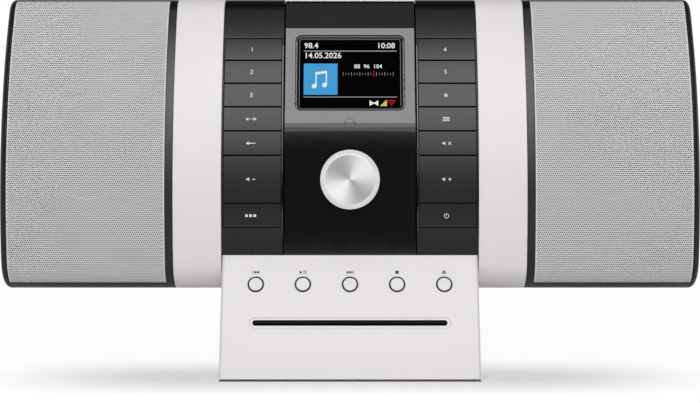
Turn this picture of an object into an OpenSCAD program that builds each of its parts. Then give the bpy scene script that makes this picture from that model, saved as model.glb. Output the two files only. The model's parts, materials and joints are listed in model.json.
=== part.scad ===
// Table-top mini hi-fi: one wide curved body with two speakers, a display and key columns,
// standing on a wedge-shaped base with a slot-loading disc drive.
// Frame: +X right, front faces -Y, +Z up, origin under the middle of the whole set.

/* [Body] */
// Width of the body over both speakers
body_w = 442.8; // [420:0.1:480]
// Height of the flat top above the table
body_top = 242.3; // [236:0.1:246]
// Height of the underside of the body
body_bottom = 54.5; // [52:0.5:57]
// Half width of the white middle section
centre_half = 112; // [108:1:116]
// Wall of the middle section
shell_wall = 2.5; // [2:0.1:3]
// Wall of the speaker boxes
box_wall = 3; // [2.5:0.1:4]
// Radius round the outer ends
cap_r = 4; // [2:0.5:5]
// Thickness of the outer end wall
end_wall = 5.5; // [5.2:0.1:7]

/* [Side outline] */
// Radius of the curved front
front_r = 280; // [270:1:300]
// Height where the front bulges most
bulge_z = 114; // [112:1:116]
// Place of the front bulge
bulge_y = -48.5; // [-50:0.5:-47]
// Radius of the curved back
back_r = 320; // [300:1:360]
// Height where the back bulges most
back_z = 140; // [136:1:144]
// Place of the back bulge
back_y = 66; // [64:0.5:68]
// Radius of the front top edge
front_top_r = 14; // [12:0.5:16]
// Radius of the front bottom edge
front_bottom_r = 20.5; // [18:0.5:22]
// Radius of the rear top edge
back_top_r = 24; // [20:1:28]
// Radius of the rear bottom edge
back_bottom_r = 24; // [20:1:28]
// Place of the joint between middle section and rear cover
split_y = 28; // [26:0.5:31]
// Place where the black front parts end on the top
lip_y = -8; // [-10:0.5:-6]

/* [Grilles] */
// Width of the strip between middle section and grille
inner_strip = 5; // [4:0.5:6]
// Width of the strip outside the grille
outer_strip = 4.2; // [3.5:0.1:5]
// Depth of the bed that the grille lies in
grille_bed = 1.6; // [1.4:0.1:2.2]
// Thickness of the grille sheet
grille_t = 1; // [0.8:0.1:1.1]
// Height of the lip above the grille
grille_lip = 1.4; // [1:0.1:2.5]
// Height of the lip below the grille
grille_foot = 3.7; // [2.5:0.1:5]
// Distance between the openings of the grille
grille_pitch = 12; // [11:0.5:15]
// Radius of an opening in the grille
grille_hole_r = 4.2; // [3:0.1:4.6]

/* [Speakers] */
// Radius of the opening in front of a driver
driver_r = 34; // [30:0.5:36]
// Width of the driver's mounting flange
flange_w = 9; // [7:0.5:9]
// Height of the driver axis
driver_z = 145; // [140:1:150]
// Place of the seat of the driver
seat_y = -31; // [-32:0.5:-28]
// Depth of the basket from flange to magnet
basket_depth = 22; // [20:0.5:26]
// Radius of the magnet
magnet_r = 28; // [24:0.5:30]
// Thickness of the magnet
magnet_t = 16; // [12:0.5:20]
// Way of the cone to each side
cone_travel = 1.5; // [1:0.1:2]

/* [Front keys] */
// Half width of the black front between the white bands
panel_half = 81.3; // [80.8:0.1:82]
// Half width of the middle fascia
fascia_half = 41.7; // [40:0.1:42]
// Width of a front key
key_w = 36.3; // [34:0.1:36.8]
// Gap between the fascia and the rail beside it
rail_gap = 0.6; // [0.4:0.1:1]
// Thickness of a key cap
key_t = 2.5; // [2:0.1:3]
// Depth of the key frame
frame_depth = 7; // [6.5:0.1:8]
// Gap round each key
key_gap = 0.3; // [0.25:0.05:0.4]
// Way of a front key when it is pressed
key_travel = 0.6; // [0.4:0.05:0.7]
// Angle of the upper edge of the first key on the front curve
key_top_angle = 21.17; // [20.5:0.01:21.5]
// Angle that one key takes on the front curve
row_angle = 3.2; // [3:0.05:3.25]
// Angle that a tall volume key takes
volume_angle = 6.2; // [6:0.05:6.3]

/* [Fascia and display] */
// Setback of the lower fascia behind the bulge
fascia_setback = 2; // [1.8:0.1:2.5]
// Thickness of the fascia
fascia_t = 3; // [2.5:0.1:3.5]
// Height of the upper edge of the fascia
fascia_top = 240.5; // [239:0.1:242]
// Height of the edge between the upper face and the display face
kink_z = 221.7; // [221:0.1:223]
// Lean of the display face
display_lean = 17.5; // [17:0.1:18]
// Radius between lower fascia and display face
fascia_bend_r = 45; // [35:1:50]
// Width of the display window
window_w = 69; // [64:0.5:71]
// Height of the display window along its face
window_h = 50.9; // [48:0.1:51.5]
// Corner radius of the display window
window_r = 3.5; // [2.5:0.1:5]
// Distance of the window's middle below the upper kink, along the face
window_drop = 30.7; // [30:0.1:31]
// Thickness of the window
window_t = 1.5; // [1:0.1:2]
// Height of the remote-control receiver
ir_z = 159; // [157.5:0.1:160]
// Radius of the receiver's window
ir_r = 3.1; // [2.5:0.1:3.4]

/* [Volume knob] */
// Height of the knob axis
knob_z = 123.8; // [122:0.1:126]
// Radius of the knob
knob_r = 19; // [17:0.5:20]
// Depth of the knob
knob_depth = 12; // [10:0.5:14]
// Width of the knob's front chamfer
knob_chamfer = 3.2; // [2.5:0.1:3.5]
// Gap between knob and fascia
knob_gap = 1; // [0.8:0.1:1.5]
// Radius of the encoder shaft
shaft_r = 3; // [2.5:0.1:3.2]
// Way of the knob when it is pushed
push_travel = 0.5; // [0.3:0.05:0.55]
// Running clearance of shafts
run_gap = 0.05; // [0.03:0.01:0.08]

/* [Base] */
// Half width of the base
base_half = 80.6; // [80:0.1:80.8]
// Height of the upper front edge of the base
base_top = 76.3; // [75.5:0.1:77.5]
// Height of the lower edge of the base
base_bottom = 0.8; // [0.6:0.1:1.4]
// Setback of the upper front edge behind the bulge
base_setback = 1.5; // [1.2:0.1:1.8]
// Place of the front curve of the base at table height
base_front = -74; // [-76:0.5:-73]
// Radius of the front curve of the base
base_r = 400; // [380:5:450]
// Wall of the base
base_wall = 2.5; // [2.2:0.1:2.8]
// Chamfer beside the front of the base
base_edge = 1.2; // [0.8:0.1:1.6]
// Lean of the back of the base from foot to top
base_back_lean = 8; // [6:0.5:9]
// Place of the back of the upstand inside the body
upstand_y = -38; // [-39:0.5:-37]
// Thickness of the base plate
plate_t = 2; // [1.8:0.1:2.5]
// Height of the rubber feet
foot_h = 2.5; // [2.4:0.1:3]
// Radius of the rubber feet
foot_r = 8; // [6:0.5:10]

/* [Disc slot and keys] */
// Height of the disc
slot_z = 34.7; // [34:0.1:35.5]
// Width of the slot
slot_w = 121.2; // [120.5:0.1:122]
// Height of the slot
slot_h = 3.5; // [3:0.1:3.9]
// Depth of the scoop round the slot
scoop_depth = 0.7; // [0.4:0.1:1]
// Radius of the scoop
scoop_r = 16; // [12:1:20]
// Reach of the scoop beyond each end of the slot
scoop_out = 2.3; // [1.5:0.1:3]
// Height of the disc keys
disc_key_z = 58.3; // [57.5:0.1:59]
// Distance between the disc keys
disc_key_pitch = 29.5; // [26:0.5:31]
// Radius of a disc key
disc_key_r = 4.2; // [4:0.1:4.4]
// Width of the ring round a disc key
ring_w = 0.75; // [0.7:0.05:1]
// Way of a disc key when it is pressed
disc_key_travel = 0.6; // [0.4:0.05:0.7]

/* [Disc drive] */
// Place of the middle of the loaded disc
disc_y = 1.5; // [0:0.5:3]
// Half width of the drive chassis
chassis_half = 64; // [63:0.5:66]
// Height of the chassis floor
chassis_z = 22; // [21:0.5:22.5]
// Thickness of the chassis sheet
chassis_t = 2; // [1.6:0.1:2.2]
// Radius of the turntable
turntable_r = 15; // [13:0.5:16]
// Radius of the spindle
spindle_r = 1; // [0.8:0.05:1.2]
// Radius of the sled rails
rail_r = 1.5; // [1.2:0.1:1.7]
// Width of the laser sled along its rails
sled_w = 8; // [7:0.5:9]
// Radius of the loading roller
roller_r = 3.2; // [2.8:0.1:3.4]
// Place of the loading roller
roller_y = -52; // [-53:0.5:-51]

/* [Rear side] */
// Distance of the antenna pivot from the side of the rear cover
antenna_in = 27; // [22:1:32]
// Height of the antenna
antenna_z = 206; // [203:0.5:208]
// Distance of the antenna axis behind its turret's seat
antenna_off = 6; // [5.5:0.5:8]
// Length of the outer antenna tube
antenna_len = 160; // [140:1:165]
// Outer radius of the outer antenna tube
antenna_r = 3; // [2.8:0.1:3.4]
// Wall of the antenna tubes
antenna_wall = 0.45; // [0.4:0.05:0.5]
// Height of the sockets and of the mains switch
socket_z = 88; // [84:1:92]
// Distance between the sockets
socket_pitch = 16; // [14:0.5:18]
// Radius of the audio sockets
jack_r = 1.75; // [1.7:0.05:1.9]
// Depth of the audio sockets
jack_depth = 14; // [13:0.5:16]
// Place of the mains switch across the rear
switch_x = -70; // [-75:1:-65]
// Half length of the rocker
rocker_r = 10; // [9:0.5:11]
// Width of the rocker
rocker_w = 13; // [11:0.5:14]
// Tilt of the rocker to each side
rocker_tilt = 8; // [5:0.5:9]
// Radius of the housing screws
screw_r = 1.5; // [1.3:0.1:1.6]

/* [Hidden] */
$fn = 96;
LEFT = -1;
RIGHT = 1;
seam = 0.2;
clear = 0.3;
eps = 1;
big = 400;
left_names = ["key_1", "key_2", "key_3", "key_scan", "key_back", "key_volume_down", "key_mode"];
right_names = ["key_4", "key_5", "key_preset", "key_menu", "key_mute", "key_volume_up", "key_power"];
disc_names = ["disc_key_previous", "disc_key_play", "disc_key_next", "disc_key_stop", "disc_key_eject"];

white = [0.91, 0.9, 0.89];
gloss_black = [0.07, 0.07, 0.08];
soft_black = [0.12, 0.12, 0.13];
steel = [0.75, 0.76, 0.77];
board_green = [0.1, 0.35, 0.2];

// ---------- side outline of the body, drawn as [y, z] ----------
function side_c(s) = s < 0 ? [bulge_y + front_r, bulge_z] : [back_y - back_r, back_z];
function side_r(s) = s < 0 ? front_r : back_r;
function corner_c(s, top, r) = let (z = top ? body_top - r : body_bottom + r, c = side_c(s), q = side_r(s) - r)
    [c[0] + s * sqrt(q * q - (z - c[1]) * (z - c[1])), z];
function touch(s, top, r) = let (c = side_c(s), k = corner_c(s, top, r)) c + (k - c) * side_r(s) / norm(k - c);
function front_y(z, i = 0) = side_c(-1)[0] - sqrt(pow(front_r - i, 2) - pow(z - bulge_z, 2));
function rear_y(z, i = 0) = side_c(1)[0] + sqrt(pow(back_r - i, 2) - pow(z - back_z, 2));
CORNERS = [[-1, true, front_top_r], [-1, false, front_bottom_r], [1, true, back_top_r], [1, false, back_bottom_r]];

// The outline moved inwards by i: two flats, two large arcs and four round corners.
module body_profile(i = 0) {
    difference() {
        intersection() {
            translate(side_c(-1)) circle(r = front_r - i, $fn = 360);
            translate(side_c(1)) circle(r = back_r - i, $fn = 360);
            translate([-big / 2, body_bottom + i]) square([big, body_top - body_bottom - 2 * i]);
        }
        for (k = CORNERS) {
            c = corner_c(k[0], k[1], k[2]);
            t = touch(k[0], k[1], k[2]);
            far = [c[0] + k[0] * big / 4, c[1] + (k[1] ? 1 : -1) * big / 4];
            polygon([c, t + (t - c) * 2, far, [c[0], far[1]]]);
        }
    }
    for (k = CORNERS) translate(corner_c(k[0], k[1], k[2])) circle(r = k[2] - i);
}

// Extrudes a side outline from x0 to x1.
module slab(x0, x1) translate([x0, 0, 0]) rotate([90, 0, 90]) linear_extrude(x1 - x0) children();

// Runs a piece that is drawn for the right half on either side.
module on_side(s) {
    if (s == RIGHT) children();
    else mirror([1, 0, 0]) children();
}

// A bar along Y from y0 to y1.
module bar_y(r, y0, y1) translate([0, y1, 0]) rotate([90, 0, 0]) cylinder(r = r, h = y1 - y0);
// A bar along X from x0 to x1.
module bar_x(r, x0, x1) translate([x0, 0, 0]) rotate([0, 90, 0]) cylinder(r = r, h = x1 - x0);

// Everything in front of a plane across Y, and above a height.
module front_of(y, z0, z1) translate([-big, z0]) square([big + y, z1 - z0]);

// ---------- middle section ----------
boss_r = 4.5;
boss_x = centre_half - 8;
boss_places = [[boss_x, body_top - shell_wall - boss_r + seam], [boss_x, body_bottom + shell_wall + boss_r - seam]];
boss_start = split_y - 14;
head_seat = split_y + 14;
head_r = 3.2;
head_t = 2.4;

module centre_shell() color(white) {
    difference() {
        slab(-centre_half, centre_half) difference() {
            body_profile(0);
            body_profile(shell_wall);
            translate([split_y, 0]) square([big, big]);
        }
        slab(-panel_half, panel_half) front_of(lip_y, base_top, big);
        slab(-panel_half, panel_half) front_of(upstand_y + seam, 0, base_top + eps);
    }
    for (s = [LEFT, RIGHT], p = boss_places) on_side(s) translate([p[0], 0, p[1]]) difference() {
        bar_y(boss_r, boss_start, split_y);
        bar_y(screw_r + run_gap, boss_start - eps, split_y + eps);
    }
}

// ---------- rear cover ----------
vent_w = 2.5;
vent_h = 26;
vent_pitch = 7;
vent_count = 12;
vent_z = 140;
vent_x0 = 14;
socket_hole_r = 4.3;
bush_r = 4.1;
socket_x0 = 10;
socket_count = 4;
turret_r = 9;
antenna_x = centre_half - antenna_in;
turret_seat = rear_y(antenna_z - turret_r - 2) + 0.2;
antenna_y = turret_seat + antenna_off;
turret_pin_r = 3.5;
board_y = 12;
board_t = 1.6;
board_half = centre_half - 20;
board_z0 = 84;
board_z1 = 224;
post_places = [for (s = [-1, 1], z = [board_z0 + 8, board_z1 - 8]) [s * (board_half - 8), z]];
post_r = 3.2;
switch_y = rear_y(socket_z) - 5;
switch_wall = 2;

module rear_cover() color(soft_black) {
    difference() {
        union() {
            slab(-centre_half, centre_half) difference() {
                body_profile(0);
                body_profile(shell_wall);
                translate([split_y - big, 0]) square([big, big]);
            }
            for (s = [LEFT, RIGHT], p = boss_places) on_side(s) translate([p[0], 0, p[1]])
                bar_y(boss_r, split_y, head_seat);
            intersection() {
                slab(-centre_half, centre_half) body_profile(0);
                for (s = [LEFT, RIGHT], p = boss_places) on_side(s) translate([p[0], 0, p[1]])
                    bar_y(boss_r, split_y, back_y + eps);
            }
            translate([antenna_x, 0, antenna_z]) bar_y(turret_r + 2, rear_y(antenna_z) - 8, turret_seat);
            for (p = post_places) intersection() {
                translate([p[0], 0, p[1]]) bar_y(post_r, board_y + board_t, back_y);
                slab(-centre_half, centre_half) body_profile(shell_wall / 2);
            }
        }
        for (s = [LEFT, RIGHT], p = boss_places) on_side(s) translate([p[0], 0, p[1]]) {
            bar_y(screw_r + run_gap, split_y - eps, head_seat + eps);
            bar_y(head_r + clear, head_seat, big / 2);
        }
        translate([antenna_x, 0, antenna_z]) bar_y(turret_pin_r + run_gap, split_y, big / 2);
        for (k = [0:vent_count - 1], s = [-1, 1])
            translate([s * (vent_x0 + k * vent_pitch) - vent_w / 2, back_y - 20, vent_z - vent_h / 2])
                cube([vent_w, 40, vent_h]);
        for (k = [0:socket_count - 1]) translate([socket_x0 + k * socket_pitch, 0, socket_z])
            bar_y(socket_hole_r, split_y, big / 2);
        translate([switch_x - rocker_w / 2 - clear, switch_y, socket_z - rocker_r - clear])
            cube([rocker_w + 2 * clear, 40, 2 * (rocker_r + clear)]);
    }
}

// ---------- speaker boxes ----------
half_w = body_w / 2;
cap_x = half_w - cap_r;
grille_x0 = centre_half + inner_strip;
grille_x1 = half_w - outer_strip;
driver_x = (grille_x0 + grille_x1) / 2;
grille_z0 = body_bottom + grille_foot;
grille_z1 = body_top - grille_lip;

function lean(s, top, r) = asin((corner_c(s, top, r)[1] - side_c(s)[1]) / (side_r(s) - r));
function arc(c, r, a0, a1, n) = [for (k = [0:n]) let (a = a0 + (a1 - a0) * k / n) c + r * [cos(a), sin(a)]];
function outline(i) = concat(
    arc(side_c(-1), front_r - i, 180 - lean(-1, false, front_bottom_r), 180 - lean(-1, true, front_top_r), 14),
    arc(corner_c(-1, true, front_top_r), front_top_r - i, 180 - lean(-1, true, front_top_r), 90, 5),
    arc(corner_c(1, true, back_top_r), back_top_r - i, 90, lean(1, true, back_top_r), 6),
    arc(side_c(1), back_r - i, lean(1, true, back_top_r), lean(1, false, back_bottom_r), 10),
    arc(corner_c(1, false, back_bottom_r), back_bottom_r - i, lean(1, false, back_bottom_r), -90, 6),
    arc(corner_c(-1, false, front_bottom_r), front_bottom_r - i, -90,
        -180 - lean(-1, false, front_bottom_r), 5));

// The rounded end of a speaker box, from a few ever smaller outlines.
cap_step = 0.06;
module end_cap() hull() for (a = [0:30:90])
    translate([cap_x + (cap_r - cap_step) * sin(a), 0, 0]) rotate([90, 0, 90]) linear_extrude(cap_step)
        polygon(outline(max(cap_step, cap_r * (1 - cos(a)))));

module speaker_box(s) color(soft_black) on_side(s) {
    difference() {
        union() {
            slab(centre_half, cap_x) body_profile(0);
            end_cap();
        }
        slab(grille_x0, grille_x1) difference() {
            front_of(0, grille_z0, grille_z1);
            body_profile(grille_bed);
        }
        difference() {
            slab(centre_half + box_wall, half_w - end_wall) intersection() {
                body_profile(box_wall);
                translate([grille_bed, 0]) body_profile(box_wall);
            }
            translate([driver_x, 0, driver_z]) bar_y(driver_r + flange_w, bulge_y, seat_y);
        }
        translate([driver_x, 0, driver_z]) bar_y(driver_r, bulge_y - eps, seat_y + eps);
    }
}

// A curved sheet with staggered round openings.
module grille(s) color(steel) on_side(s) {
    rim = grille_hole_r + 1;
    row = grille_pitch * sin(60);
    rows = floor((grille_z1 - grille_z0 - 2 * rim) / row);
    columns = floor((grille_x1 - grille_x0 - 2 * rim) / grille_pitch - 0.5);
    spare_x = (grille_x1 - grille_x0 - (columns + 0.5) * grille_pitch) / 2;
    spare_z = (grille_z1 - grille_z0 - rows * row) / 2;
    intersection() {
        slab(grille_x0 + seam, grille_x1 - seam) difference() {
            body_profile(grille_bed - grille_t - seam);
            body_profile(grille_bed - seam);
        }
        rotate([90, 0, 0]) linear_extrude(big / 2) difference() {
            translate([grille_x0, grille_z0 + seam])
                square([grille_x1 - grille_x0, grille_z1 - grille_z0 - 2 * seam]);
            for (j = [0:rows], k = [0:columns])
                translate([grille_x0 + spare_x + (k + (j % 2) / 2) * grille_pitch, grille_z0 + spare_z + j * row])
                    circle(r = grille_hole_r, $fn = 24);
        }
    }
}

// ---------- drivers ----------
basket_t = 1.6;
coil_r = 12.5;
coil_gap = 1;
surround_gap = 0.5;

// A shape turned round the driver axis: first number radius, second depth behind the seat.
module turned() translate([driver_x, seat_y, driver_z]) rotate([-90, 0, 0]) rotate_extrude() children();

module driver_frame(s) color(steel) on_side(s) turned() {
    difference() {
        polygon([[0, basket_depth + magnet_t], [magnet_r, basket_depth + magnet_t], [magnet_r, basket_depth],
            [driver_r + basket_t - 1, basket_t], [driver_r + flange_w - clear, basket_t],
            [driver_r + flange_w - clear, 0], [driver_r - 0.5, 0], [driver_r - 0.5, basket_t],
            [magnet_r - basket_t, basket_depth], [0, basket_depth]]);
        translate([coil_r - coil_gap, basket_depth - eps]) square([2 * coil_gap, 9 + cone_travel]);
    }
}

module driver_cone(s) color(gloss_black) on_side(s) turned() {
    rim = driver_r - 0.5 - surround_gap;
    polygon([[coil_r - 0.4, basket_depth + 6], [coil_r + 0.4, basket_depth + 6], [coil_r + 0.4, basket_depth - 6],
        [rim - 5, 1.5], [rim, 1.5], [rim, 0.7], [rim - 1.2, -1], [rim - 3.8, -1], [rim - 5, 0.5],
        [coil_r - 0.4, basket_depth - 8], [0, basket_depth - 10], [0, basket_depth - 9.2],
        [coil_r - 1.2, basket_depth - 7]]);
}

// ---------- black fascia, drawn as [y, z] ----------
lower_y = bulge_y + fascia_setback;
kink = [front_y(kink_z), kink_z];
top_lean = 25.3;
panel_z0 = base_top + 0.4;
fascia_end = lip_y - seam;
// Crossing of the display face, moved inwards by i, with the lower face and with the upper face.
function low_corner(i) = [lower_y + i, kink_z + (lower_y + i - kink[0] - i / cos(display_lean)) / tan(display_lean)];
function crossing(p, a, q, b) = let (t = ((q[1] - p[1]) * sin(b) - (q[0] - p[0]) * cos(b)) / sin(b - a))
    p + t * [sin(a), cos(a)];
function high_corner(i) = crossing(kink + i * [cos(display_lean), -sin(display_lean)], display_lean,
    kink + i * [cos(top_lean), -sin(top_lean)], top_lean);
function roof_corner(i) = high_corner(i) + (fascia_top - i - high_corner(i)[1]) * [tan(top_lean), 1];
function fascia_line(i) = [[lower_y + i, panel_z0], low_corner(i), high_corner(i), roof_corner(i),
    [fascia_end, fascia_top - i]];

// Rounds the outer corner b between two straight faces that lean by a0 and a1.
module soften(b, a0, a1, r) {
    t = r * tan((a1 - a0) / 2);
    p = b - t * [sin(a0), cos(a0)];
    q = b + t * [sin(a1), cos(a1)];
    c = p + r * [cos(a0), -sin(a0)];
    difference() {
        polygon([p, b + (b - c) / r, q, (p + q) / 2 + (c - b) * 0.02]);
        translate(c) circle(r = r, $fn = 180);
    }
}

module fascia_outline() difference() {
    polygon(concat(fascia_line(0), [for (k = [4:-1:0]) fascia_line(fascia_t)[k]]));
    soften(low_corner(0), 0, display_lean, fascia_bend_r);
    soften(roof_corner(0), top_lean, 90, 2.5);
}

// Moves a piece into the display face: x across, y into the set, z up along the face.
module on_display() translate([0, kink[0], kink[1]]) rotate([-display_lean, 0, 0])
    translate([0, 0, -window_drop]) children();

module rounded_plate(w, h, r, y0, y1) translate([0, y1, 0]) rotate([90, 0, 0]) linear_extrude(y1 - y0) {
    square([w - 2 * r, h], center = true);
    square([w, h - 2 * r], center = true);
    for (i = [-1, 1], j = [-1, 1]) translate([i * (w / 2 - r), j * (h / 2 - r)]) circle(r = r, $fn = 48);
}

bush_hole_r = 4.7;
module fascia() color(gloss_black) difference() {
    slab(-fascia_half, fascia_half) fascia_outline();
    on_display() rounded_plate(window_w, window_h, window_r, -eps, fascia_t + eps);
    translate([0, 0, knob_z]) bar_y(bush_hole_r, lower_y - eps, lower_y + fascia_t + eps);
    translate([0, 0, ir_z]) bar_y(ir_r + run_gap, lower_y - 5, lower_y + fascia_t + 9);
}

module display_window() color([0.15, 0.2, 0.3, 0.6]) on_display()
    rounded_plate(window_w - 2 * seam, window_h - 2 * seam, window_r - seam, 0.1, window_t + 0.1);

module display_module() color(steel) on_display() {
    rounded_plate(window_w - 1, window_h - 1, 2, window_t + clear, fascia_t);
    rounded_plate(window_w + 6, window_h + 3.4, 2, fascia_t, fascia_t + 4);
}

module ir_window() color([0.25, 0.05, 0.08]) intersection() {
    translate([0, 0, ir_z]) bar_y(ir_r, lower_y - 5, lower_y + fascia_t + 1);
    slab(-ir_r, ir_r) difference() {
        polygon(concat(fascia_line(0), [[0, fascia_top], [0, panel_z0]]));
        soften(low_corner(0), 0, display_lean, fascia_bend_r);
    }
}

// ---------- front keys, set out on the front curve ----------
key_x1 = panel_half - seam - 0.9 - key_gap;
key_x0 = key_x1 - key_w;
rail_x0 = fascia_half + rail_gap;
frame_x1 = panel_half - 0.3;
function row_top(k) = key_top_angle - k * row_angle - (k > 5 ? volume_angle - row_angle : 0);
function row_size(k) = k == 5 ? volume_angle : row_angle;
function row_mid(k) = row_top(k) - row_size(k) / 2;
keys_bottom_angle = row_top(7);
mid_angle = (row_top(0) + keys_bottom_angle) / 2;
stem_w = 7;
stem_h = 4;
key_board_r = front_r - 19;
switch_h = 3;
key_board_t = 1.6;

// Puts a piece that is drawn round the front curve's axis, facing -Y, at an angle above level.
module on_front(a) translate([0, side_c(-1)[0], bulge_z]) rotate([-a, 0, 0]) children();
// A stretch of ring round the front curve's axis, between two radii and two angles.
module ring_piece(r0, r1, a0, a1) difference() {
    intersection() {
        circle(r = r1, $fn = 360);
        polygon([[0, 0], for (a = [a0, (a0 + a1) / 2, a1]) 2 * r1 * [-cos(a), sin(a)]]);
    }
    circle(r = r0, $fn = 360);
}

module key_frame(s) color(gloss_black) on_side(s) {
    difference() {
        slab(rail_x0, frame_x1) intersection() {
            difference() {
                body_profile(0);
                body_profile(frame_depth);
            }
            front_of(fascia_end, panel_z0, big);
        }
        on_front(0) slab(key_x0 - key_gap, key_x1 + key_gap)
            ring_piece(front_r - frame_depth + 2, front_r + eps, keys_bottom_angle, row_top(0));
        for (k = [0:6]) on_front(row_mid(k)) translate([(key_x0 + key_x1) / 2, -front_r, 0])
            cube([stem_w + 2 * clear, 3 * frame_depth, stem_h + 2 * clear], center = true);
    }
    for (x = [key_x0 + 4, key_x1 - 4], a = [-11.9, 11.9])
        on_front(mid_angle) translate([x, 0, (front_r - frame_depth) * sin(a)])
            bar_y(2, -(front_r - frame_depth + 1) * cos(a), -key_board_r);
}

// One key cap with its stem; the stem ends just clear of its switch.
module front_key(s, k) color(gloss_black) on_side(s) {
    gap_angle = key_gap / front_r * 180 / PI;
    half = row_size(k) / 2 - gap_angle;
    on_front(row_mid(k)) slab(key_x0, key_x1) ring_piece(front_r - key_t, front_r, -half, half);
    turn = row_mid(k) - mid_angle;
    stem_end = (key_board_r + switch_h) / cos(turn) + key_travel + 0.15 + stem_h / 2 * abs(tan(turn));
    on_front(row_mid(k)) translate([(key_x0 + key_x1) / 2 - stem_w / 2, -(front_r - key_t + 0.5), -stem_h / 2])
        cube([stem_w, front_r - key_t + 0.5 - stem_end, stem_h]);
}

module key_board(s) color(board_green) on_side(s) on_front(mid_angle) {
    half = (front_r - frame_depth) * sin(13.5);
    translate([key_x0 + 1, -key_board_r, -half]) cube([key_w - 2, key_board_t, 2 * half]);
    for (k = [0:6]) translate([(key_x0 + key_x1) / 2, -key_board_r, key_board_r * tan(row_mid(k) - mid_angle)]) {
        translate([-3, -switch_h + 0.8, -3]) cube([6, switch_h, 6]);
        bar_y(1.7, -switch_h, 0);
    }
}

// ---------- volume knob and its push encoder ----------
knob_back = lower_y - knob_gap;
knob_front = knob_back - knob_depth;
fascia_back = lower_y + fascia_t;
encoder_depth = 10;
bush_out = 4;

module at_knob() translate([0, 0, knob_z]) children();

module volume_knob() color(steel) at_knob() difference() {
    translate([0, knob_back, 0]) rotate([90, 0, 0]) rotate_extrude()
        polygon([[0, 0], [knob_r, 0], [knob_r, knob_depth - knob_chamfer * 0.4],
            [knob_r - knob_chamfer, knob_depth], [0, knob_depth - 0.5]]);
    bar_y(12, knob_back - knob_depth / 2, knob_back + eps);
    bar_y(shaft_r + 0.02, knob_front + 3, knob_back);
}

module encoder_shaft() color(steel) at_knob() {
    bar_y(shaft_r, knob_front + 3.2, fascia_back + 4.5);
    bar_y(shaft_r + 1, fascia_back + 3.5, fascia_back + 4.5);
}

module encoder_plunger() color(soft_black) at_knob() bar_y(shaft_r + 0.5, fascia_back + 4.8, fascia_back + 6.8);

module encoder_body() color(soft_black) at_knob() difference() {
    union() {
        translate([-7, fascia_back, -7]) cube([14, encoder_depth, 14]);
        bar_y(bush_hole_r - 0.1, lower_y - bush_out, fascia_back + eps);
    }
    bar_y(shaft_r + run_gap, lower_y - bush_out - eps, fascia_back + 5);
    bar_y(shaft_r + 2, fascia_back + 3, fascia_back + 6.8 + 0.8);
}

// ---------- boards and sockets inside ----------
module main_board() color(board_green) {
    translate([-board_half, board_y, board_z0]) cube([2 * board_half, board_t, board_z1 - board_z0]);
    translate([-60, board_y - 6, 180]) cube([44, 6.5, 30]);
    translate([20, board_y - 3, 176]) cube([18, 3.5, 18]);
    translate([52, board_y - 3, 120]) cube([14, 3.5, 14]);
    for (x = [-70, -56, -42]) translate([x, 0, 112]) bar_y(5, board_y - 16, board_y + 0.5);
}

sink_x = -8;
sink_z = 110;
module heat_sink() color(steel) translate([sink_x, board_y, sink_z]) {
    translate([0, -3, 0]) cube([50, 3, 36]);
    for (k = [0:7]) translate([k * 6.9, -15, 0]) cube([1.7, 12.5, 36]);
}

switch_half = rocker_r + clear + switch_wall;
switch_seat = rear_y(socket_z - switch_half, shell_wall) - seam;
module rear_sockets() color(soft_black) {
    y1 = rear_y(socket_z) - 0.3;
    for (k = [0:socket_count - 1]) translate([socket_x0 + k * socket_pitch, 0, socket_z]) difference() {
        union() {
            translate([-5.5, y1 - 17, -6]) cube([11, 13, 12]);
            bar_y(bush_r, y1 - 5, y1);
        }
        bar_y(k == 0 ? jack_r + 1 : jack_r, y1 - jack_depth, y1 + eps);
    }
    translate([switch_x, switch_y, socket_z]) difference() {
        translate([-rocker_w / 2 - clear - switch_wall, -rocker_r - 2, -switch_half])
            cube([rocker_w + 2 * (clear + switch_wall), switch_seat - switch_y + rocker_r + 2, 2 * switch_half]);
        translate([-rocker_w / 2 - clear, -rocker_r - clear, -rocker_r - clear])
            cube([rocker_w + 2 * clear, 2 * rocker_r, 2 * (rocker_r + clear)]);
        bar_x(1 + run_gap, -big / 2, big / 2);
    }
}

module power_rocker() color(soft_black) translate([switch_x, switch_y, socket_z]) {
    slab(-rocker_w / 2, rocker_w / 2) intersection() {
        circle(r = rocker_r);
        polygon([[-3, -4], [-3, 4], [0.5, rocker_r], [6.5, rocker_r], [5, 0], [6.5, -rocker_r], [0.5, -rocker_r]]);
    }
    bar_x(1, -rocker_w / 2 - 1.5, rocker_w / 2 + 1.5);
}

module screw_along_y(y0, y1) {
    bar_y(screw_r, y0, y1 + 0.1);
    bar_y(head_r, y1, y1 + head_t);
}

// ---------- base, drawn as [y, z] ----------
base_p = [bulge_y + base_setback, base_top];
base_q = [base_front, 0];
base_chord = base_p - base_q;
base_n = [base_chord[1], -base_chord[0]] / norm(base_chord);
base_c = (base_p + base_q) / 2 + base_n * sqrt(pow(base_r, 2) - pow(norm(base_chord) / 2, 2));
function base_y(z, i = 0) = base_c[0] - sqrt(pow(base_r - i, 2) - pow(z - base_c[1], 2));
function base_angle(z) = asin((z - base_c[1]) / base_r);
base_foot = -base_y(base_bottom);

module base_profile(i, z0) intersection() {
    translate(base_c) circle(r = base_r - i, $fn = 360);
    polygon([[-big / 2, z0], [base_foot - i, z0], [base_foot - base_back_lean - i, body_bottom - i],
        [upstand_y - i, body_bottom - i], [upstand_y - i, base_top - i], [-big / 2, base_top - i]]);
}

// Puts a piece drawn round the axis of the base's front curve at the height z on that curve.
module on_base(z) translate([0, base_c[0], base_c[1]]) rotate([-base_angle(z), 0, 0]) children();

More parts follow.
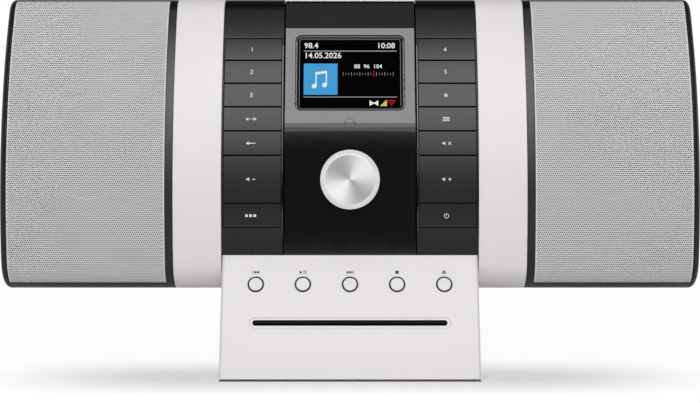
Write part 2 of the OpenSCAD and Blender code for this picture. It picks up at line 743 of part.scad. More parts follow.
scoop_x = slot_w / 2 + scoop_out - sqrt(scoop_depth * (2 * scoop_r - scoop_depth));
base_post_r = 4;
post_x = base_half - 10;
base_posts = [for (x = [-post_x, post_x], y = [upstand_y + 5, 58]) [x, y]];
ring_r = disc_key_r + 0.1 + ring_w;
plate_z = foot_h;
plate_top = plate_z + plate_t;
key_pcb_r = base_r - 10;
key_pcb_half = 4.6;
pcb_x = base_half - 10;

module base_shell() color(white) {
    difference() {
        slab(-base_half, base_half) base_profile(0, base_bottom);
        slab(-base_half + base_wall, base_half - base_wall) base_profile(base_wall, base_bottom - eps);
        translate([0, base_y(slot_z) - eps, slot_z]) {
            for (s = [-1, 1]) translate([s * (slot_w - slot_h) / 2, 0, 0]) bar_y(slot_h / 2, 0, 12);
            translate([-(slot_w - slot_h) / 2, 0, -slot_h / 2]) cube([slot_w - slot_h, 12, slot_h]);
        }
        translate([0, base_y(slot_z) + scoop_depth - scoop_r, slot_z]) {
            bar_x(scoop_r, -scoop_x, scoop_x);
            for (s = [-1, 1]) translate([s * scoop_x, 0, 0]) sphere(r = scoop_r);
        }
        for (k = [-2:2]) on_base(disc_key_z) translate([k * disc_key_pitch, 0, 0])
            bar_y(ring_r, -base_r - eps, -base_r + base_wall + eps);
        for (s = [LEFT, RIGHT]) on_side(s) translate([base_half, base_c[0], base_c[1]]) rotate([0, -90, 0])
            rotate_extrude($fn = 360) polygon([[base_r - base_edge, -eps], [base_r + eps, -eps],
                [base_r + eps, base_edge + eps], [base_r - base_edge, 0]]);
    }
    for (p = base_posts) translate([p[0], p[1], plate_top]) difference() {
        cylinder(r = base_post_r, h = body_bottom - base_wall / 2 - plate_top);
        translate([0, 0, -eps]) cylinder(r = screw_r + run_gap, h = 16);
    }
    for (x = [-pcb_x, pcb_x]) on_base(disc_key_z) translate([x, 0, 0])
        bar_y(2, -base_r + base_wall / 2, -key_pcb_r - key_board_t);
}

post_in = 58;
chassis_posts = [for (x = [-1, 1], y = [-44, 48]) [x * post_in, y]];
module base_plate() color(soft_black) {
    difference() {
        slab(-base_half + base_wall + seam, base_half - base_wall - seam) intersection() {
            base_profile(base_wall + seam, base_bottom);
            translate([-big / 2, plate_z]) square([big, plate_t]);
        }
        for (p = base_posts) translate([p[0], p[1], 0]) cylinder(r = screw_r + run_gap, h = 10);
        for (k = [-3:3]) translate([k * 9 - 1.5, 14, 0]) cube([3, 30, 10]);
    }
    for (p = chassis_posts) translate([p[0], p[1], plate_top - 0.5])
        cylinder(r = 3.5, h = chassis_z - plate_top + 0.5);
}

feet = [[-66, -60], [66, -60], [-54, 61], [54, 61]];
module rubber_feet() color([0.1, 0.1, 0.1]) for (p = feet) translate([p[0], p[1], 0]) cylinder(r = foot_r, h = foot_h);

module housing_screws() color(steel) {
    for (s = [LEFT, RIGHT], p = boss_places) on_side(s) translate([p[0], 0, p[1]])
        screw_along_y(split_y - 8, head_seat);
    for (p = base_posts) translate([p[0], p[1], 0]) {
        translate([0, 0, plate_z - 1.5]) cylinder(r = head_r - 0.2, h = 1.5);
        translate([0, 0, plate_z - 0.1]) cylinder(r = screw_r, h = 12);
    }
}

// ---------- disc keys ----------
module disc_key_rings() color(gloss_black) on_base(disc_key_z) for (k = [-2:2])
    translate([k * disc_key_pitch, 0, 0]) difference() {
        bar_y(ring_r - run_gap, -base_r - 0.2, -base_r + base_wall);
        bar_y(ring_r - ring_w, -base_r - eps, -base_r + base_wall + eps);
    }

module disc_key(k) color(white) on_base(disc_key_z) translate([(k - 2) * disc_key_pitch, 0, 0]) {
    bar_y(disc_key_r, -base_r - 0.4, -base_r + base_wall + clear);
    bar_y(disc_key_r + 1, -base_r + base_wall + clear, -base_r + base_wall + clear + 1);
    bar_y(2, -base_r + base_wall + 1, -key_pcb_r - key_board_t - 1.8 - disc_key_travel - 0.15);
}

module disc_key_board() color(board_green) on_base(disc_key_z) {
    translate([-pcb_x - 5, -key_pcb_r - key_board_t, -key_pcb_half])
        cube([2 * pcb_x + 10, key_board_t, 2 * key_pcb_half]);
    for (k = [-2:2]) translate([k * disc_key_pitch, 0, 0]) {
        translate([-3, -key_pcb_r - key_board_t - 1.2, -3]) cube([6, 1.4, 6]);
        bar_y(1.6, -key_pcb_r - key_board_t - 1.8, -key_pcb_r);
    }
}

module slot_felt() color([0.08, 0.08, 0.08]) translate([0, base_c[0], base_c[1]]) {
    slot_a = base_angle(slot_z);
    for (s = [-1, 1]) slab(-slot_w / 2 - 1, slot_w / 2 + 1) ring_piece(base_r - base_wall - 1.1,
        base_r - base_wall - 0.1, slot_a + min(s * 0.08, s * 0.55), slot_a + max(s * 0.08, s * 0.55));
}

// ---------- disc drive ----------
disc_bottom = slot_z - 0.6;
roller_z = disc_bottom - roller_r;
rail_z = chassis_z + chassis_t + 4;
rail_half = 14;
sled_x0 = turntable_r + 5;
rail_hold = 3;
rail_end = chassis_half - rail_hold;
motor_r = 11;
chassis_y0 = roller_y - 5;
chassis_y1 = 62;
wall_h = roller_z + 4 - chassis_z;

module disc_chassis() color(steel) {
    difference() {
        union() {
            translate([-chassis_half, chassis_y0, chassis_z])
                cube([2 * chassis_half, chassis_y1 - chassis_y0, chassis_t]);
            for (s = [LEFT, RIGHT]) on_side(s) translate([chassis_half - chassis_t, chassis_y0, chassis_z])
                cube([chassis_t, chassis_y1 - chassis_y0, wall_h]);
            translate([0, disc_y, chassis_z - 9]) cylinder(r = motor_r, h = 10);
            for (x = [sled_x0 - 4, rail_end + rail_hold]) for (s = [-1, 1])
                translate([x - rail_hold, disc_y + s * rail_half - 3, chassis_z + chassis_t / 2])
                    cube([rail_hold, 6, rail_z - chassis_z - chassis_t / 2 + 2.5]);
        }
        translate([0, disc_y, chassis_z - 7]) cylinder(r = spindle_r + run_gap, h = 20);
        for (s = [LEFT, RIGHT]) on_side(s) translate([0, roller_y, roller_z])
            bar_x(1.5 + run_gap, chassis_half - chassis_t - eps, chassis_half + eps);
        for (x = [-1, 1], y = [-24, 34]) translate([x * 40, y, chassis_z - eps]) cylinder(r = 7, h = chassis_t + 2 * eps);
    }
    for (s = [-1, 1]) translate([0, disc_y + s * rail_half, rail_z]) bar_x(rail_r, sled_x0 - 6, rail_end + 1);
}

module disc_turntable() color(soft_black) translate([0, disc_y, 0]) {
    cylinder_z = disc_bottom - 3;
    translate([0, 0, cylinder_z]) cylinder(r = turntable_r, h = 3);
    translate([0, 0, disc_bottom]) cylinder(r = 7.4, h = 1.4);
    translate([0, 0, chassis_z - 6]) cylinder(r = spindle_r, h = cylinder_z - chassis_z + 6.5);
    translate([0, 0, chassis_z + chassis_t + clear]) cylinder(r = 4, h = cylinder_z - chassis_z - chassis_t);
}

module laser_sled() color(soft_black) translate([sled_x0, disc_y, rail_z]) {
    difference() {
        translate([0, -rail_half - 4, -3.4]) cube([sled_w, 2 * rail_half + 8, 5.8]);
        for (s = [-1, 1]) translate([0, s * rail_half, 0]) bar_x(rail_r + run_gap, -eps, sled_w + eps);
    }
    translate([sled_w / 2, 0, 2]) cylinder(r = 2.5, h = 1.6);
}

module loading_roller() color([0.15, 0.15, 0.16]) translate([0, roller_y, roller_z]) {
    bar_x(roller_r, -chassis_half + chassis_t + 2, chassis_half - chassis_t - 2);
    bar_x(1.5, -chassis_half - 1, chassis_half + 1);
}

// ---------- telescopic antenna, folded along the back ----------
middle_r = antenna_r - antenna_wall - run_gap;
tip_r = middle_r - antenna_wall - run_gap;
knuckle_r = 3.6;
knuckle_h = 7;
ear_t = 2;
pivot_r = 1.5;

module at_pivot() translate([antenna_x, antenna_y, antenna_z]) children();

module antenna_base() color(soft_black) at_pivot() {
    translate([0, -antenna_y, 0]) {
        bar_y(turret_r, turret_seat + 0.1, turret_seat + 2);
        bar_y(turret_pin_r, rear_y(antenna_z) - 13, turret_seat + 1);
        bar_y(turret_pin_r + 2.5, rear_y(antenna_z) - 12, rear_y(antenna_z) - 8.2);
    }
    for (s = [-1, 1]) translate([-4, turret_seat + 1.5 - antenna_y, s * (knuckle_h / 2 + 0.1 + ear_t / 2) - ear_t / 2])
        cube([8, antenna_y - turret_seat + 1.5, ear_t]);
    translate([0, 0, -knuckle_h / 2 - ear_t]) cylinder(r = pivot_r, h = knuckle_h + 2 * ear_t);
}

module antenna_tube() color(steel) at_pivot() {
    difference() {
        union() {
            translate([0, 0, -knuckle_h / 2]) cylinder(r = knuckle_r, h = knuckle_h);
            translate([-9, -2.5, -knuckle_h / 2 + 0.5]) cube([9, 5, knuckle_h - 1]);
        }
        translate([0, 0, -big / 2]) cylinder(r = pivot_r + run_gap, h = big);
    }
    difference() {
        bar_x(antenna_r, -antenna_len, -8);
        bar_x(antenna_r - antenna_wall, -antenna_len - eps, -12);
    }
}

module antenna_middle() color(steel) at_pivot() difference() {
    bar_x(middle_r, -antenna_len - 2, -14);
    bar_x(middle_r - antenna_wall, -antenna_len - 3, -16);
}

module antenna_tip() color(steel) at_pivot() {
    bar_x(tip_r, -antenna_len - 3, -18);
    bar_x(antenna_r + 0.4, -antenna_len - 9, -antenna_len - 3);
}

centre_shell();
rear_cover();
speaker_box(LEFT);  // speaker_box_left
speaker_box(RIGHT);  // speaker_box_right
grille(LEFT);  // grille_left
grille(RIGHT);  // grille_right
driver_frame(LEFT);  // driver_frame_left
driver_frame(RIGHT);  // driver_frame_right
driver_cone(LEFT);  // driver_cone_left
driver_cone(RIGHT);  // driver_cone_right
fascia();
display_window();
display_module();
ir_window();
key_frame(LEFT);  // key_frame_left
key_frame(RIGHT);  // key_frame_right
key_board(LEFT);  // key_board_left
key_board(RIGHT);  // key_board_right
volume_knob();
encoder_shaft();
encoder_plunger();
encoder_body();
main_board();
heat_sink();
rear_sockets();
base_shell();
base_plate();
rubber_feet();
disc_key_rings();
disc_key_board();
slot_felt();
disc_chassis();
disc_turntable();
laser_sled();
loading_roller();
antenna_base();
antenna_tube();
antenna_middle();
antenna_tip();
power_rocker();
housing_screws();
for (k = [0:6]) front_key(LEFT, k);
for (k = [0:6]) front_key(RIGHT, k);
for (k = [0:4]) disc_key(k);
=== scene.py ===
# %% [markdown]
# A wide table-top hi-fi, dressed for a studio.
#
# The set is a curved body on a wedge foot. Two black end boxes carry silver
# perforated sheets, white bands run between them, and the controls sit in the
# middle. The solids already have the right sizes, so this lesson only adds what
# solids lack: fine perforation, soft edges, printing, light and real finishes.

# %% Load the frame
import json
import math

import bmesh
import bpy
import numpy as np
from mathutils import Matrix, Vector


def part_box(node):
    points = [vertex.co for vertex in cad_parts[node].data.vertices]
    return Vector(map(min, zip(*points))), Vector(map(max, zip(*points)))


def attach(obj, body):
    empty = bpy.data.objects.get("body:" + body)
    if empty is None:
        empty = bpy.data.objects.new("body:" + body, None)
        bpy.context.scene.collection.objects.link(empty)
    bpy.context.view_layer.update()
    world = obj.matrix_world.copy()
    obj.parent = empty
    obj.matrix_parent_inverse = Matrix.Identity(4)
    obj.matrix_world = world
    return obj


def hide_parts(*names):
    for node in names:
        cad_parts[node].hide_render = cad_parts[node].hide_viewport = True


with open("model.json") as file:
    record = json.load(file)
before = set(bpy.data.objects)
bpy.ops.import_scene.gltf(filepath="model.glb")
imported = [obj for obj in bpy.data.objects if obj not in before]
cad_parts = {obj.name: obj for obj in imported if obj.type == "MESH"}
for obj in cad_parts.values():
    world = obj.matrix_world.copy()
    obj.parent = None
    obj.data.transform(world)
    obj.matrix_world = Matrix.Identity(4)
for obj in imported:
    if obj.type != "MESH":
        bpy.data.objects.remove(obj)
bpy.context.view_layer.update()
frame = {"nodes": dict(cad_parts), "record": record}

MM = 0.001


def box_mm(node):
    """The lowest and the highest corner of a solid in mm."""
    return [np.array(corner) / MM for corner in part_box(node)]


# %% [markdown]
# The camera comes first, because every later choice is judged through it. It
# stands level in front of the set, almost a metre away, at the height of the
# knob, so that all upright lines stay upright and no shift is needed.

# %% Camera
LENS, EYE = 78.6, (0, -1.0115, 0.1101)
scene = bpy.context.scene
scene.view_settings.view_transform = "Standard"
lens = bpy.data.cameras.new("camera")
lens.sensor_width, lens.lens = 36, LENS


def placed(name, data):
    """A new object in the scene for a camera, a lamp or a mesh."""
    thing = bpy.data.objects.new(name, data)
    scene.collection.objects.link(thing)
    return thing


camera = placed("camera", lens)
camera.location = EYE
camera.rotation_euler = (math.pi / 2, 0, 0)
scene.camera = camera
print("camera", tuple(round(v, 3) for v in camera.location), "lens", lens.lens)


# %% [markdown]
# A studio for glossy black plastic is mostly about what the plastic mirrors. One
# wide softbox hangs in front and above, the room behind the camera is dark, and
# the wall behind the set is white. The world plays the walls, and area lamps
# play the softbox. The world also glows straight above, where no gloss shows it,
# and at both sides, where only gloss does, so that upright edges catch a line of
# light. Only the camera sees pure white round the set.

# %% A small helper that adds and links nodes
def add_node(tree, kind, inputs=(), **settings):
    """Adds one node, sets its properties, and fills its inputs with numbers or links."""
    node = tree.nodes.new("ShaderNode" + kind)
    for name, value in settings.items():
        setattr(node, name, value)
    for key, value in dict(inputs).items():
        if hasattr(value, "is_output"):
            tree.links.new(value, node.inputs[key])
        else:
            node.inputs[key].default_value = value
    return node


def math_node(tree, operation, *values):
    """One Math node on up to three numbers or links."""
    return add_node(tree, "Math", enumerate(values), operation=operation).outputs[0]


def ramp_node(tree, value, low, high, to_low, to_high):
    """Maps value from low..high to to_low..to_high with a soft start and end."""
    return add_node(tree, "MapRange", {0: value, 1: low, 2: high, 3: to_low, 4: to_high},
                    interpolation_type="SMOOTHSTEP").outputs[0]


# %% World
ROOM_FRONT, ROOM_TOP, CEILING_GLOW, SIDE_GLOW, OVERHEAD = 0.08, 0.02, 0.4, 1.2, 1.3
WALL, WALL_FADE, WALL_LEAST = 1.0, -1.08, 0.03
FRONT_EDGE, CEILING_START, CEILING_END = (-0.35, 0.1), (0.70, 0.78), (0.83, 0.86)
SIDE_EDGE, TOP_EDGE = (0.87, 0.96), (0.93, 0.97)
world = bpy.data.worlds.new("studio")
scene.world = world
world.use_nodes = True
tree = world.node_tree
rays = add_node(tree, "LightPath").outputs
direction = add_node(tree, "SeparateXYZ", {0: add_node(tree, "TexCoord").outputs["Generated"]}).outputs
front = ramp_node(tree, direction["Y"], *FRONT_EDGE, 1.0, 0.0)
faded = math_node(tree, "MULTIPLY_ADD", direction["Z"], WALL_FADE, WALL)
wall_height = math_node(tree, "MAXIMUM", faded, WALL_LEAST)
behind = math_node(tree, "MULTIPLY", wall_height, math_node(tree, "SUBTRACT", 1.0, front))
glow_in = ramp_node(tree, direction["Z"], *CEILING_START, 0.0, 1.0)
glow_out = ramp_node(tree, direction["Z"], *CEILING_END, 1.0, 0.0)
glow = math_node(tree, "MULTIPLY", math_node(tree, "MULTIPLY", glow_in, glow_out), CEILING_GLOW)
room = math_node(tree, "ADD", ramp_node(tree, direction["Z"], 0.0, 0.9, ROOM_FRONT, ROOM_TOP), glow)
sideways = ramp_node(tree, math_node(tree, "ABSOLUTE", direction["X"]), *SIDE_EDGE, 0.0, SIDE_GLOW)
room = math_node(tree, "MULTIPLY_ADD", sideways, rays["Is Glossy Ray"], room)
overhead = math_node(tree, "MULTIPLY", ramp_node(tree, direction["Z"], *TOP_EDGE, 0.0, OVERHEAD),
                     math_node(tree, "SUBTRACT", 1.0, rays["Is Glossy Ray"]))
level = math_node(tree, "ADD", math_node(tree, "MULTIPLY_ADD", front, room, behind), overhead)
seen = math_node(tree, "MAXIMUM", level, rays["Is Camera Ray"])
background = tree.nodes["Background"]
background.inputs["Color"].default_value = (1, 1, 1, 1)
tree.links.new(seen, background.inputs["Strength"])
print("world: a dark room in front, a white wall behind that fades upwards")


# %% A softbox in four bands that fades towards its foot
AIM, BOX_AWAY, BOX_WIDE = np.array([0, -0.05, 0.15]), 1.6, 1.3


def softbox(name, size, luminance, place):
    """An area lamp of that size in metres, turned to the set.
    Its power is luminance times pi times its area."""
    lamp = bpy.data.lights.new(name, "AREA")
    lamp.shape = "RECTANGLE"
    lamp.size, lamp.size_y = size
    lamp.energy = luminance * math.pi * size[0] * size[1]
    holder = placed(name, lamp)
    aim = AIM - place
    holder.location = place
    flat = math.hypot(aim[0], aim[1])
    holder.rotation_euler = (math.pi / 2 - math.atan2(-aim[2], flat), 0, math.atan2(-aim[0], aim[1]))
    print(name, "power", round(lamp.energy, 1), "W")


for name, low, high, luminance in (("high", 21, 48, 4.7), ("middle", 14, 21, 2.5),
                                   ("low", 6.5, 14, 1.4), ("foot", 2.5, 6.5, 0.4)):
    tall = 2 * BOX_AWAY * math.tan(math.radians((high - low) / 2))
    rise = math.radians((low + high) / 2)
    spot = AIM + BOX_AWAY * np.array([0, -math.cos(rise), math.sin(rise)])
    softbox("softbox_" + name, (BOX_WIDE, tall), luminance, spot)

# %% [markdown]
# The floor is pale and has no edge in view. For the camera it glows a little
# under its own shading, so it melts into the white wall. Near the set that glow is
# turned down, which is a painted shadow: a soft dark band across the floor in front
# of the set and a darker patch right under the base, laid over the real shadow that
# the floor's own shading keeps.

# %% Floor
FLOOR_WIDE, FLOOR_FRONT, FLOOR_GLOW, FLOOR_PAINT, FLOOR_COLOUR = 30, -2.2, 0.888, 0.22, 0.92
PAINTED_SHADOW_Y, PAINTED_SHADOW_REACH, PAINTED_SHADOW_START, PAINTED_SHADOW_HALF, PAINTED_SHADOW_DEPTH = -0.055, 0.115, 0.10, 0.26, 0.38
PAINTED_UNDER_X, PAINTED_UNDER_EDGE, PAINTED_UNDER_SHADOW = 0.0805, (0.0765, 0.081), 0.88


def new_material(name):
    """A new material with nodes, its node tree and its shader."""
    material = bpy.data.materials.new(name)
    material.use_nodes = True
    return material, material.node_tree, material.node_tree.nodes["Principled BSDF"]


# %% The floor and its finish
floor_mesh = bpy.data.meshes.new("floor")
floor_mesh.from_pydata([(x, y, 0) for x, y in ((-FLOOR_WIDE, FLOOR_FRONT), (FLOOR_WIDE, FLOOR_FRONT),
                                               (FLOOR_WIDE, FLOOR_WIDE), (-FLOOR_WIDE, FLOOR_WIDE))],
                       [], [(0, 1, 2, 3)])
floor = placed("floor", floor_mesh)
floor_paint, tree, _ = new_material("floor_paint")
rays = add_node(tree, "LightPath").outputs
spot = add_node(tree, "SeparateXYZ", {0: add_node(tree, "TexCoord").outputs["Object"]}).outputs
# Painted shadow: the camera's glow is turned down in a soft band across the floor in front of the set, fading
# out towards both sides.
off_line = math_node(tree, "ABSOLUTE", math_node(tree, "SUBTRACT", spot["Y"], PAINTED_SHADOW_Y))
across = ramp_node(tree, off_line, 0.0, PAINTED_SHADOW_REACH, 1.0, 0.0)
along = ramp_node(tree, math_node(tree, "ABSOLUTE", spot["X"]), PAINTED_SHADOW_START, PAINTED_SHADOW_HALF, 1.0, 0.0)
shade = math_node(tree, "MULTIPLY", math_node(tree, "MULTIPLY", across, along), PAINTED_SHADOW_DEPTH)
# Painted contact shadow: the glow is turned down further right under the base, so that a dark line shows in
# the gap beneath it.
under_x = math_node(tree, "LESS_THAN", math_node(tree, "ABSOLUTE", spot["X"]), PAINTED_UNDER_X)
under_y = ramp_node(tree, math_node(tree, "ABSOLUTE", spot["Y"]), *PAINTED_UNDER_EDGE, 1.0, 0.0)
under = math_node(tree, "MULTIPLY", under_x, under_y)
shade = math_node(tree, "MAXIMUM", shade, math_node(tree, "MULTIPLY", under, PAINTED_UNDER_SHADOW))
plain = add_node(tree, "BsdfDiffuse", {"Color": (FLOOR_COLOUR,) * 3 + (1,)}).outputs[0]
shown = add_node(tree, "BsdfDiffuse", {"Color": (FLOOR_PAINT,) * 3 + (1,)}).outputs[0]
glow = add_node(tree, "Emission", {"Color": (1, 1, 1, 1), "Strength": math_node(
    tree, "SUBTRACT", FLOOR_GLOW, shade)}).outputs[0]
for_camera = add_node(tree, "AddShader", {0: shown, 1: glow}).outputs[0]
mixed = add_node(tree, "MixShader", {0: rays["Is Camera Ray"], 1: plain, 2: for_camera}).outputs[0]
tree.links.new(mixed, tree.nodes["Material Output"].inputs["Surface"])
floor_mesh.materials.append(floor_paint)
print("floor glow", FLOOR_GLOW, "paint", FLOOR_PAINT)


# %% [markdown]
# Every finish starts from one recipe: a base colour with a faint cloud in it, a
# roughness that wanders a little, and a fine grain as bump. The size of the
# grain, how deep it is and how shiny the skin is make the difference between
# moulded, lacquered, rubber and metal parts.

# %% The recipe for a finish
CLOUDS_PER_METRE = 28


def finish(name, colour, roughness, metal=0.0, grain=0.5, depth=4.0, cloud=0.04, wander=0.03, **skin):
    """A principled finish. grain is the size of the texture in mm and depth its height in
    micrometres. cloud and wander are how far colour and roughness drift over the piece."""
    material, tree, shader = new_material(name)
    here = add_node(tree, "TexCoord").outputs["Object"]
    broad = add_node(tree, "TexNoise", {"Vector": here, "Scale": CLOUDS_PER_METRE, "Detail": 3}).outputs["Fac"]
    fine = add_node(tree, "TexNoise", {"Vector": here, "Scale": 1 / (grain * MM), "Detail": 2}).outputs["Fac"]
    dark = [c * (1 - cloud) for c in colour] + [1]
    pale = [min(1, c * (1 + cloud)) for c in colour] + [1]
    tint = add_node(tree, "MixRGB", {0: broad, 1: dark, 2: pale}).outputs[0]
    rough = ramp_node(tree, fine, 0.3, 0.7, roughness - wander, roughness + wander)
    relief = add_node(tree, "Bump", {"Height": fine, "Distance": depth * 1e-6, "Strength": 1.0}).outputs[0]
    tree.links.new(tint, shader.inputs["Base Color"])
    tree.links.new(rough, shader.inputs["Roughness"])
    tree.links.new(relief, shader.inputs["Normal"])
    shader.inputs["Metallic"].default_value = metal
    for key, value in skin.items():
        shader.inputs[key.replace("_", " ")].default_value = value
    return material


# %% The finishes of the set
white_plastic = finish("white_plastic", (0.795, 0.77, 0.764), 0.38, grain=0.6, depth=2, cloud=0.01)
end_plastic = finish("end_plastic", (0.0045, 0.0045, 0.005), 0.32, grain=0.5, depth=8)
key_plastic = finish("key_plastic", (0.004, 0.0043, 0.0042), 0.28, grain=0.35, depth=2,
                     Specular_IOR_Level=0.39)
piano_black = finish("piano_black", (0.003, 0.003, 0.0035), 0.06, grain=6, depth=1, wander=0.01,
                     Specular_IOR_Level=0.72)
satin_black = finish("satin_black", (0.0085, 0.0102, 0.0095), 0.3, grain=1, depth=1,
                     Specular_IOR_Level=0.3)
sheet_silver = finish("sheet_silver", (0.67, 0.664, 0.657), 0.6, metal=0.0, grain=0.3, depth=3,
                      Specular_IOR_Level=0.35)
plated_steel = finish("plated_steel", (0.56, 0.565, 0.58), 0.34, metal=1.0, grain=1.2, depth=4)
chrome = finish("chrome", (0.78, 0.78, 0.79), 0.08, metal=1.0, grain=3, depth=1, wander=0.02)
rubber = finish("rubber", (0.018, 0.018, 0.018), 0.75, grain=0.5, depth=20)
nylon = finish("nylon", (0.016, 0.016, 0.017), 0.5, grain=0.5, depth=6)
solder_mask = finish("solder_mask", (0.01, 0.10, 0.045), 0.35, grain=1.0, depth=6, cloud=0.2)
paper_cone = finish("paper_cone", (0.02, 0.02, 0.021), 0.8, grain=0.8, depth=50)
aluminium = finish("aluminium", (0.82, 0.82, 0.825), 0.3, metal=1.0, grain=0.4, depth=3)
black_steel = finish("black_steel", (0.08, 0.08, 0.082), 0.4, metal=1.0, grain=0.7, depth=4)
sensor_black = finish("sensor_black", (0.007, 0.004, 0.005), 0.09, grain=4, depth=1,
                      Specular_IOR_Level=0.76)
felt_black = finish("felt_black", (0.006, 0.006, 0.006), 0.95, grain=0.25, depth=60)
legend_grey = finish("legend_grey", (0.75, 0.75, 0.75), 0.5, grain=0.3, depth=1)
symbol_grey = finish("symbol_grey", (0.02, 0.018, 0.018), 0.5, grain=0.3, depth=1)
pane_black = finish("pane_black", (0.0010, 0.0012, 0.0018), 0.30, grain=3, depth=1,
                    Specular_IOR_Level=0.0)
ring_black = finish("ring_black", (0.02, 0.019, 0.019), 0.5, grain=0.5, depth=2,
                    Specular_IOR_Level=0.2)
knob_metal = finish("knob_metal", (0.645, 0.635, 0.63), 0.40, metal=0.86, grain=0.5, depth=1, cloud=0.01,
                    Anisotropic=0.8, Anisotropic_Rotation=0.89)
# The dial's chamfer: a pale, mostly non-metal colour that paints in the highlight its bright metal would
# reflect.
knob_rim_painted_highlight = finish("knob_rim_painted_highlight", (0.93, 0.92, 0.915), 0.3, metal=0.15, grain=0.5, depth=1, cloud=0.01)
print(len(bpy.data.materials), "finishes")

# %% The knob is turned, so its brushing runs round the axis
tree = knob_metal.node_tree
around = add_node(tree, "Tangent", direction_type="RADIAL", axis="Y").outputs[0]
tree.links.new(around, tree.nodes["Principled BSDF"].inputs["Tangent"])
print("brushing of the knob follows circles round the Y axis")

# %% [markdown]
# Each solid keeps its exact mesh, but real moulded parts never have razor edges.
# So each piece that shows gets a copy of the solid's mesh with its loose
# triangles merged, flat faces joined up, and a small round along every sharp
# edge, and that copy stands for the solid.

# %% Rounded copies of the solids
SHARP, FLAT, MERGE, AT_CUT = math.radians(35), math.radians(0.4), 2e-6, 1e-6
bodies = frame["record"]["behaviour"]["bodies"]
body_of_node = {node: body for body, nodes in bodies.items() for node in nodes}
slot_of_node = {part["node"]: part["material_slot"] for part in frame["record"]["subparts"]}


def settle(piece, node, material):
    """Gives a new piece its finish and body, and lets it stand for the solid it is made after."""
    piece.data.materials.clear()
    piece.data.materials.append(material)
    if piece.name not in scene.collection.objects:
        scene.collection.objects.link(piece)
    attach(piece, body_of_node[node])
    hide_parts(node)
    return piece


# %% Modifiers that round and shade
def round_edges(piece, width, segments=2):
    """A live bevel of that width in mm on every edge whose bevel weight is one."""
    bevel = piece.modifiers.new("round", "BEVEL")
    bevel.width = width * MM
    bevel.segments = segments
    bevel.limit_method = "WEIGHT"
    bevel.use_clamp_overlap = False


def even_shading(piece):
    """Lets the large faces set the shading, so that flats stay flat beside small rounds."""
    weigh = piece.modifiers.new("shading", "WEIGHTED_NORMAL")
    weigh.weight = 100
    weigh.keep_sharp = True


# %% Taking a plug out of a shape
def bored(shape, plug):
    """Takes the plug out of a shape with a Boolean, and removes the plug. What comes back
    says of a point whether it lies in the plug's box."""
    mesh = bpy.data.meshes.new("whole")
    shape.to_mesh(mesh)
    whole = placed("whole", mesh)
    bore = whole.modifiers.new("bore", "BOOLEAN")
    bore.operation, bore.solver, bore.object = "DIFFERENCE", "EXACT", plug
    ready = whole.evaluated_get(bpy.context.evaluated_depsgraph_get())
    result = bpy.data.meshes.new_from_object(ready)
    low, high = np.min(plug.bound_box, 0) - 1e-5, np.max(plug.bound_box, 0) + 1e-5
    for spent in (whole, plug):
        bpy.data.meshes.remove(spent.data)
    shape.clear()
    shape.from_mesh(result)
    bpy.data.meshes.remove(result)
    return lambda v: all(low[k] < v.co[k] < high[k] for k in range(3))


# %% A merged copy with rounded edges
def rounded_copy(node, material, width=0.3, segments=2, cut=None, plug=None):
    """A merged copy of a solid's mesh with its flat faces joined and its edges rounded.
    Sharp edges get a bevel weight of one. With a cut, the part of the solid past that x is
    taken off and the cut is closed with one face, left sharp. With a plug, its shape is
    taken out, and the edges there are left sharp as well."""
    source = frame["nodes"][node]
    shape = bmesh.new()
    shape.from_mesh(source.data)
    bmesh.ops.remove_doubles(shape, verts=shape.verts, dist=MERGE)
    if cut:
        everything = shape.verts[:] + shape.edges[:] + shape.faces[:]
        bmesh.ops.bisect_plane(shape, geom=everything, dist=AT_CUT, plane_co=(cut * MM, 0, 0),
                               plane_no=(math.copysign(1, cut), 0, 0), clear_outer=True)
        bmesh.ops.contextual_create(shape, geom=[e for e in shape.edges if e.is_boundary])
    at_cut = bored(shape, plug) if plug else lambda v: bool(cut) and abs(v.co.x - cut * MM) < AT_CUT
    bmesh.ops.dissolve_limit(shape, angle_limit=FLAT, verts=shape.verts, edges=shape.edges)
    weight = shape.edges.layers.float.new("bevel_weight_edge")
    for face in shape.faces:
        face.smooth = True
    for edge in shape.edges:
        kept, angle = all(at_cut(v) for v in edge.verts), edge.calc_face_angle(0)
        edge[weight] = float(angle > SHARP and not kept)
        edge.smooth = not kept and (width > 0 or angle < SHARP)
    mesh = bpy.data.meshes.new(node + "_dressed")
    shape.to_mesh(mesh)
    shape.free()
    piece = settle(bpy.data.objects.new(node + "_dressed", mesh), node, material)
    if width:
        round_edges(piece, width, segments)
    even_shading(piece)
    return piece


# %% Which solids get a rounded copy
front_keys = [n for n in slot_of_node if n.startswith("key_") and n[4:9] not in ("frame", "board")]
disc_keys = ["disc_key_" + n for n in ("previous", "play", "next", "stop", "eject")]
CAP_X = 217.4
for node, material, width, *cut in (
        ("centre_shell", white_plastic, 0.5), ("rear_cover", end_plastic, 0.3),
        ("speaker_box_left", end_plastic, 0.3, -CAP_X), ("speaker_box_right", end_plastic, 0.3, CAP_X),
        ("key_frame_left", key_plastic, 0.2), ("key_frame_right", key_plastic, 0.2),
        ("fascia", piano_black, 0.5),
        ("base_plate", end_plastic, 0.3), ("rubber_feet", rubber, 0.2), ("ir_window", sensor_black, 0.0),
        ("rear_sockets", nylon, 0.2), ("power_rocker", nylon, 0.3),
        ("antenna_base", nylon, 0.3), ("antenna_tube", chrome, 0.1),
        ("antenna_middle", chrome, 0.0), ("antenna_tip", chrome, 0.1),
        *((key, key_plastic, 0.15) for key in front_keys),
        *((key, white_plastic, 0.35) for key in disc_keys)):
    made = rounded_copy(node, material, width, 2, *cut)
    print(made.name, len(made.data.polygons), "faces before rounding")


# %% [markdown]
# Three touches need the points themselves. The front keys are drawn in a little,
# so that a dark gap parts each from the next. The receiver window grows until it
# fills its hole. And the inner rails of the key frames are lacquered, which is
# told from how far each face lies from the middle.

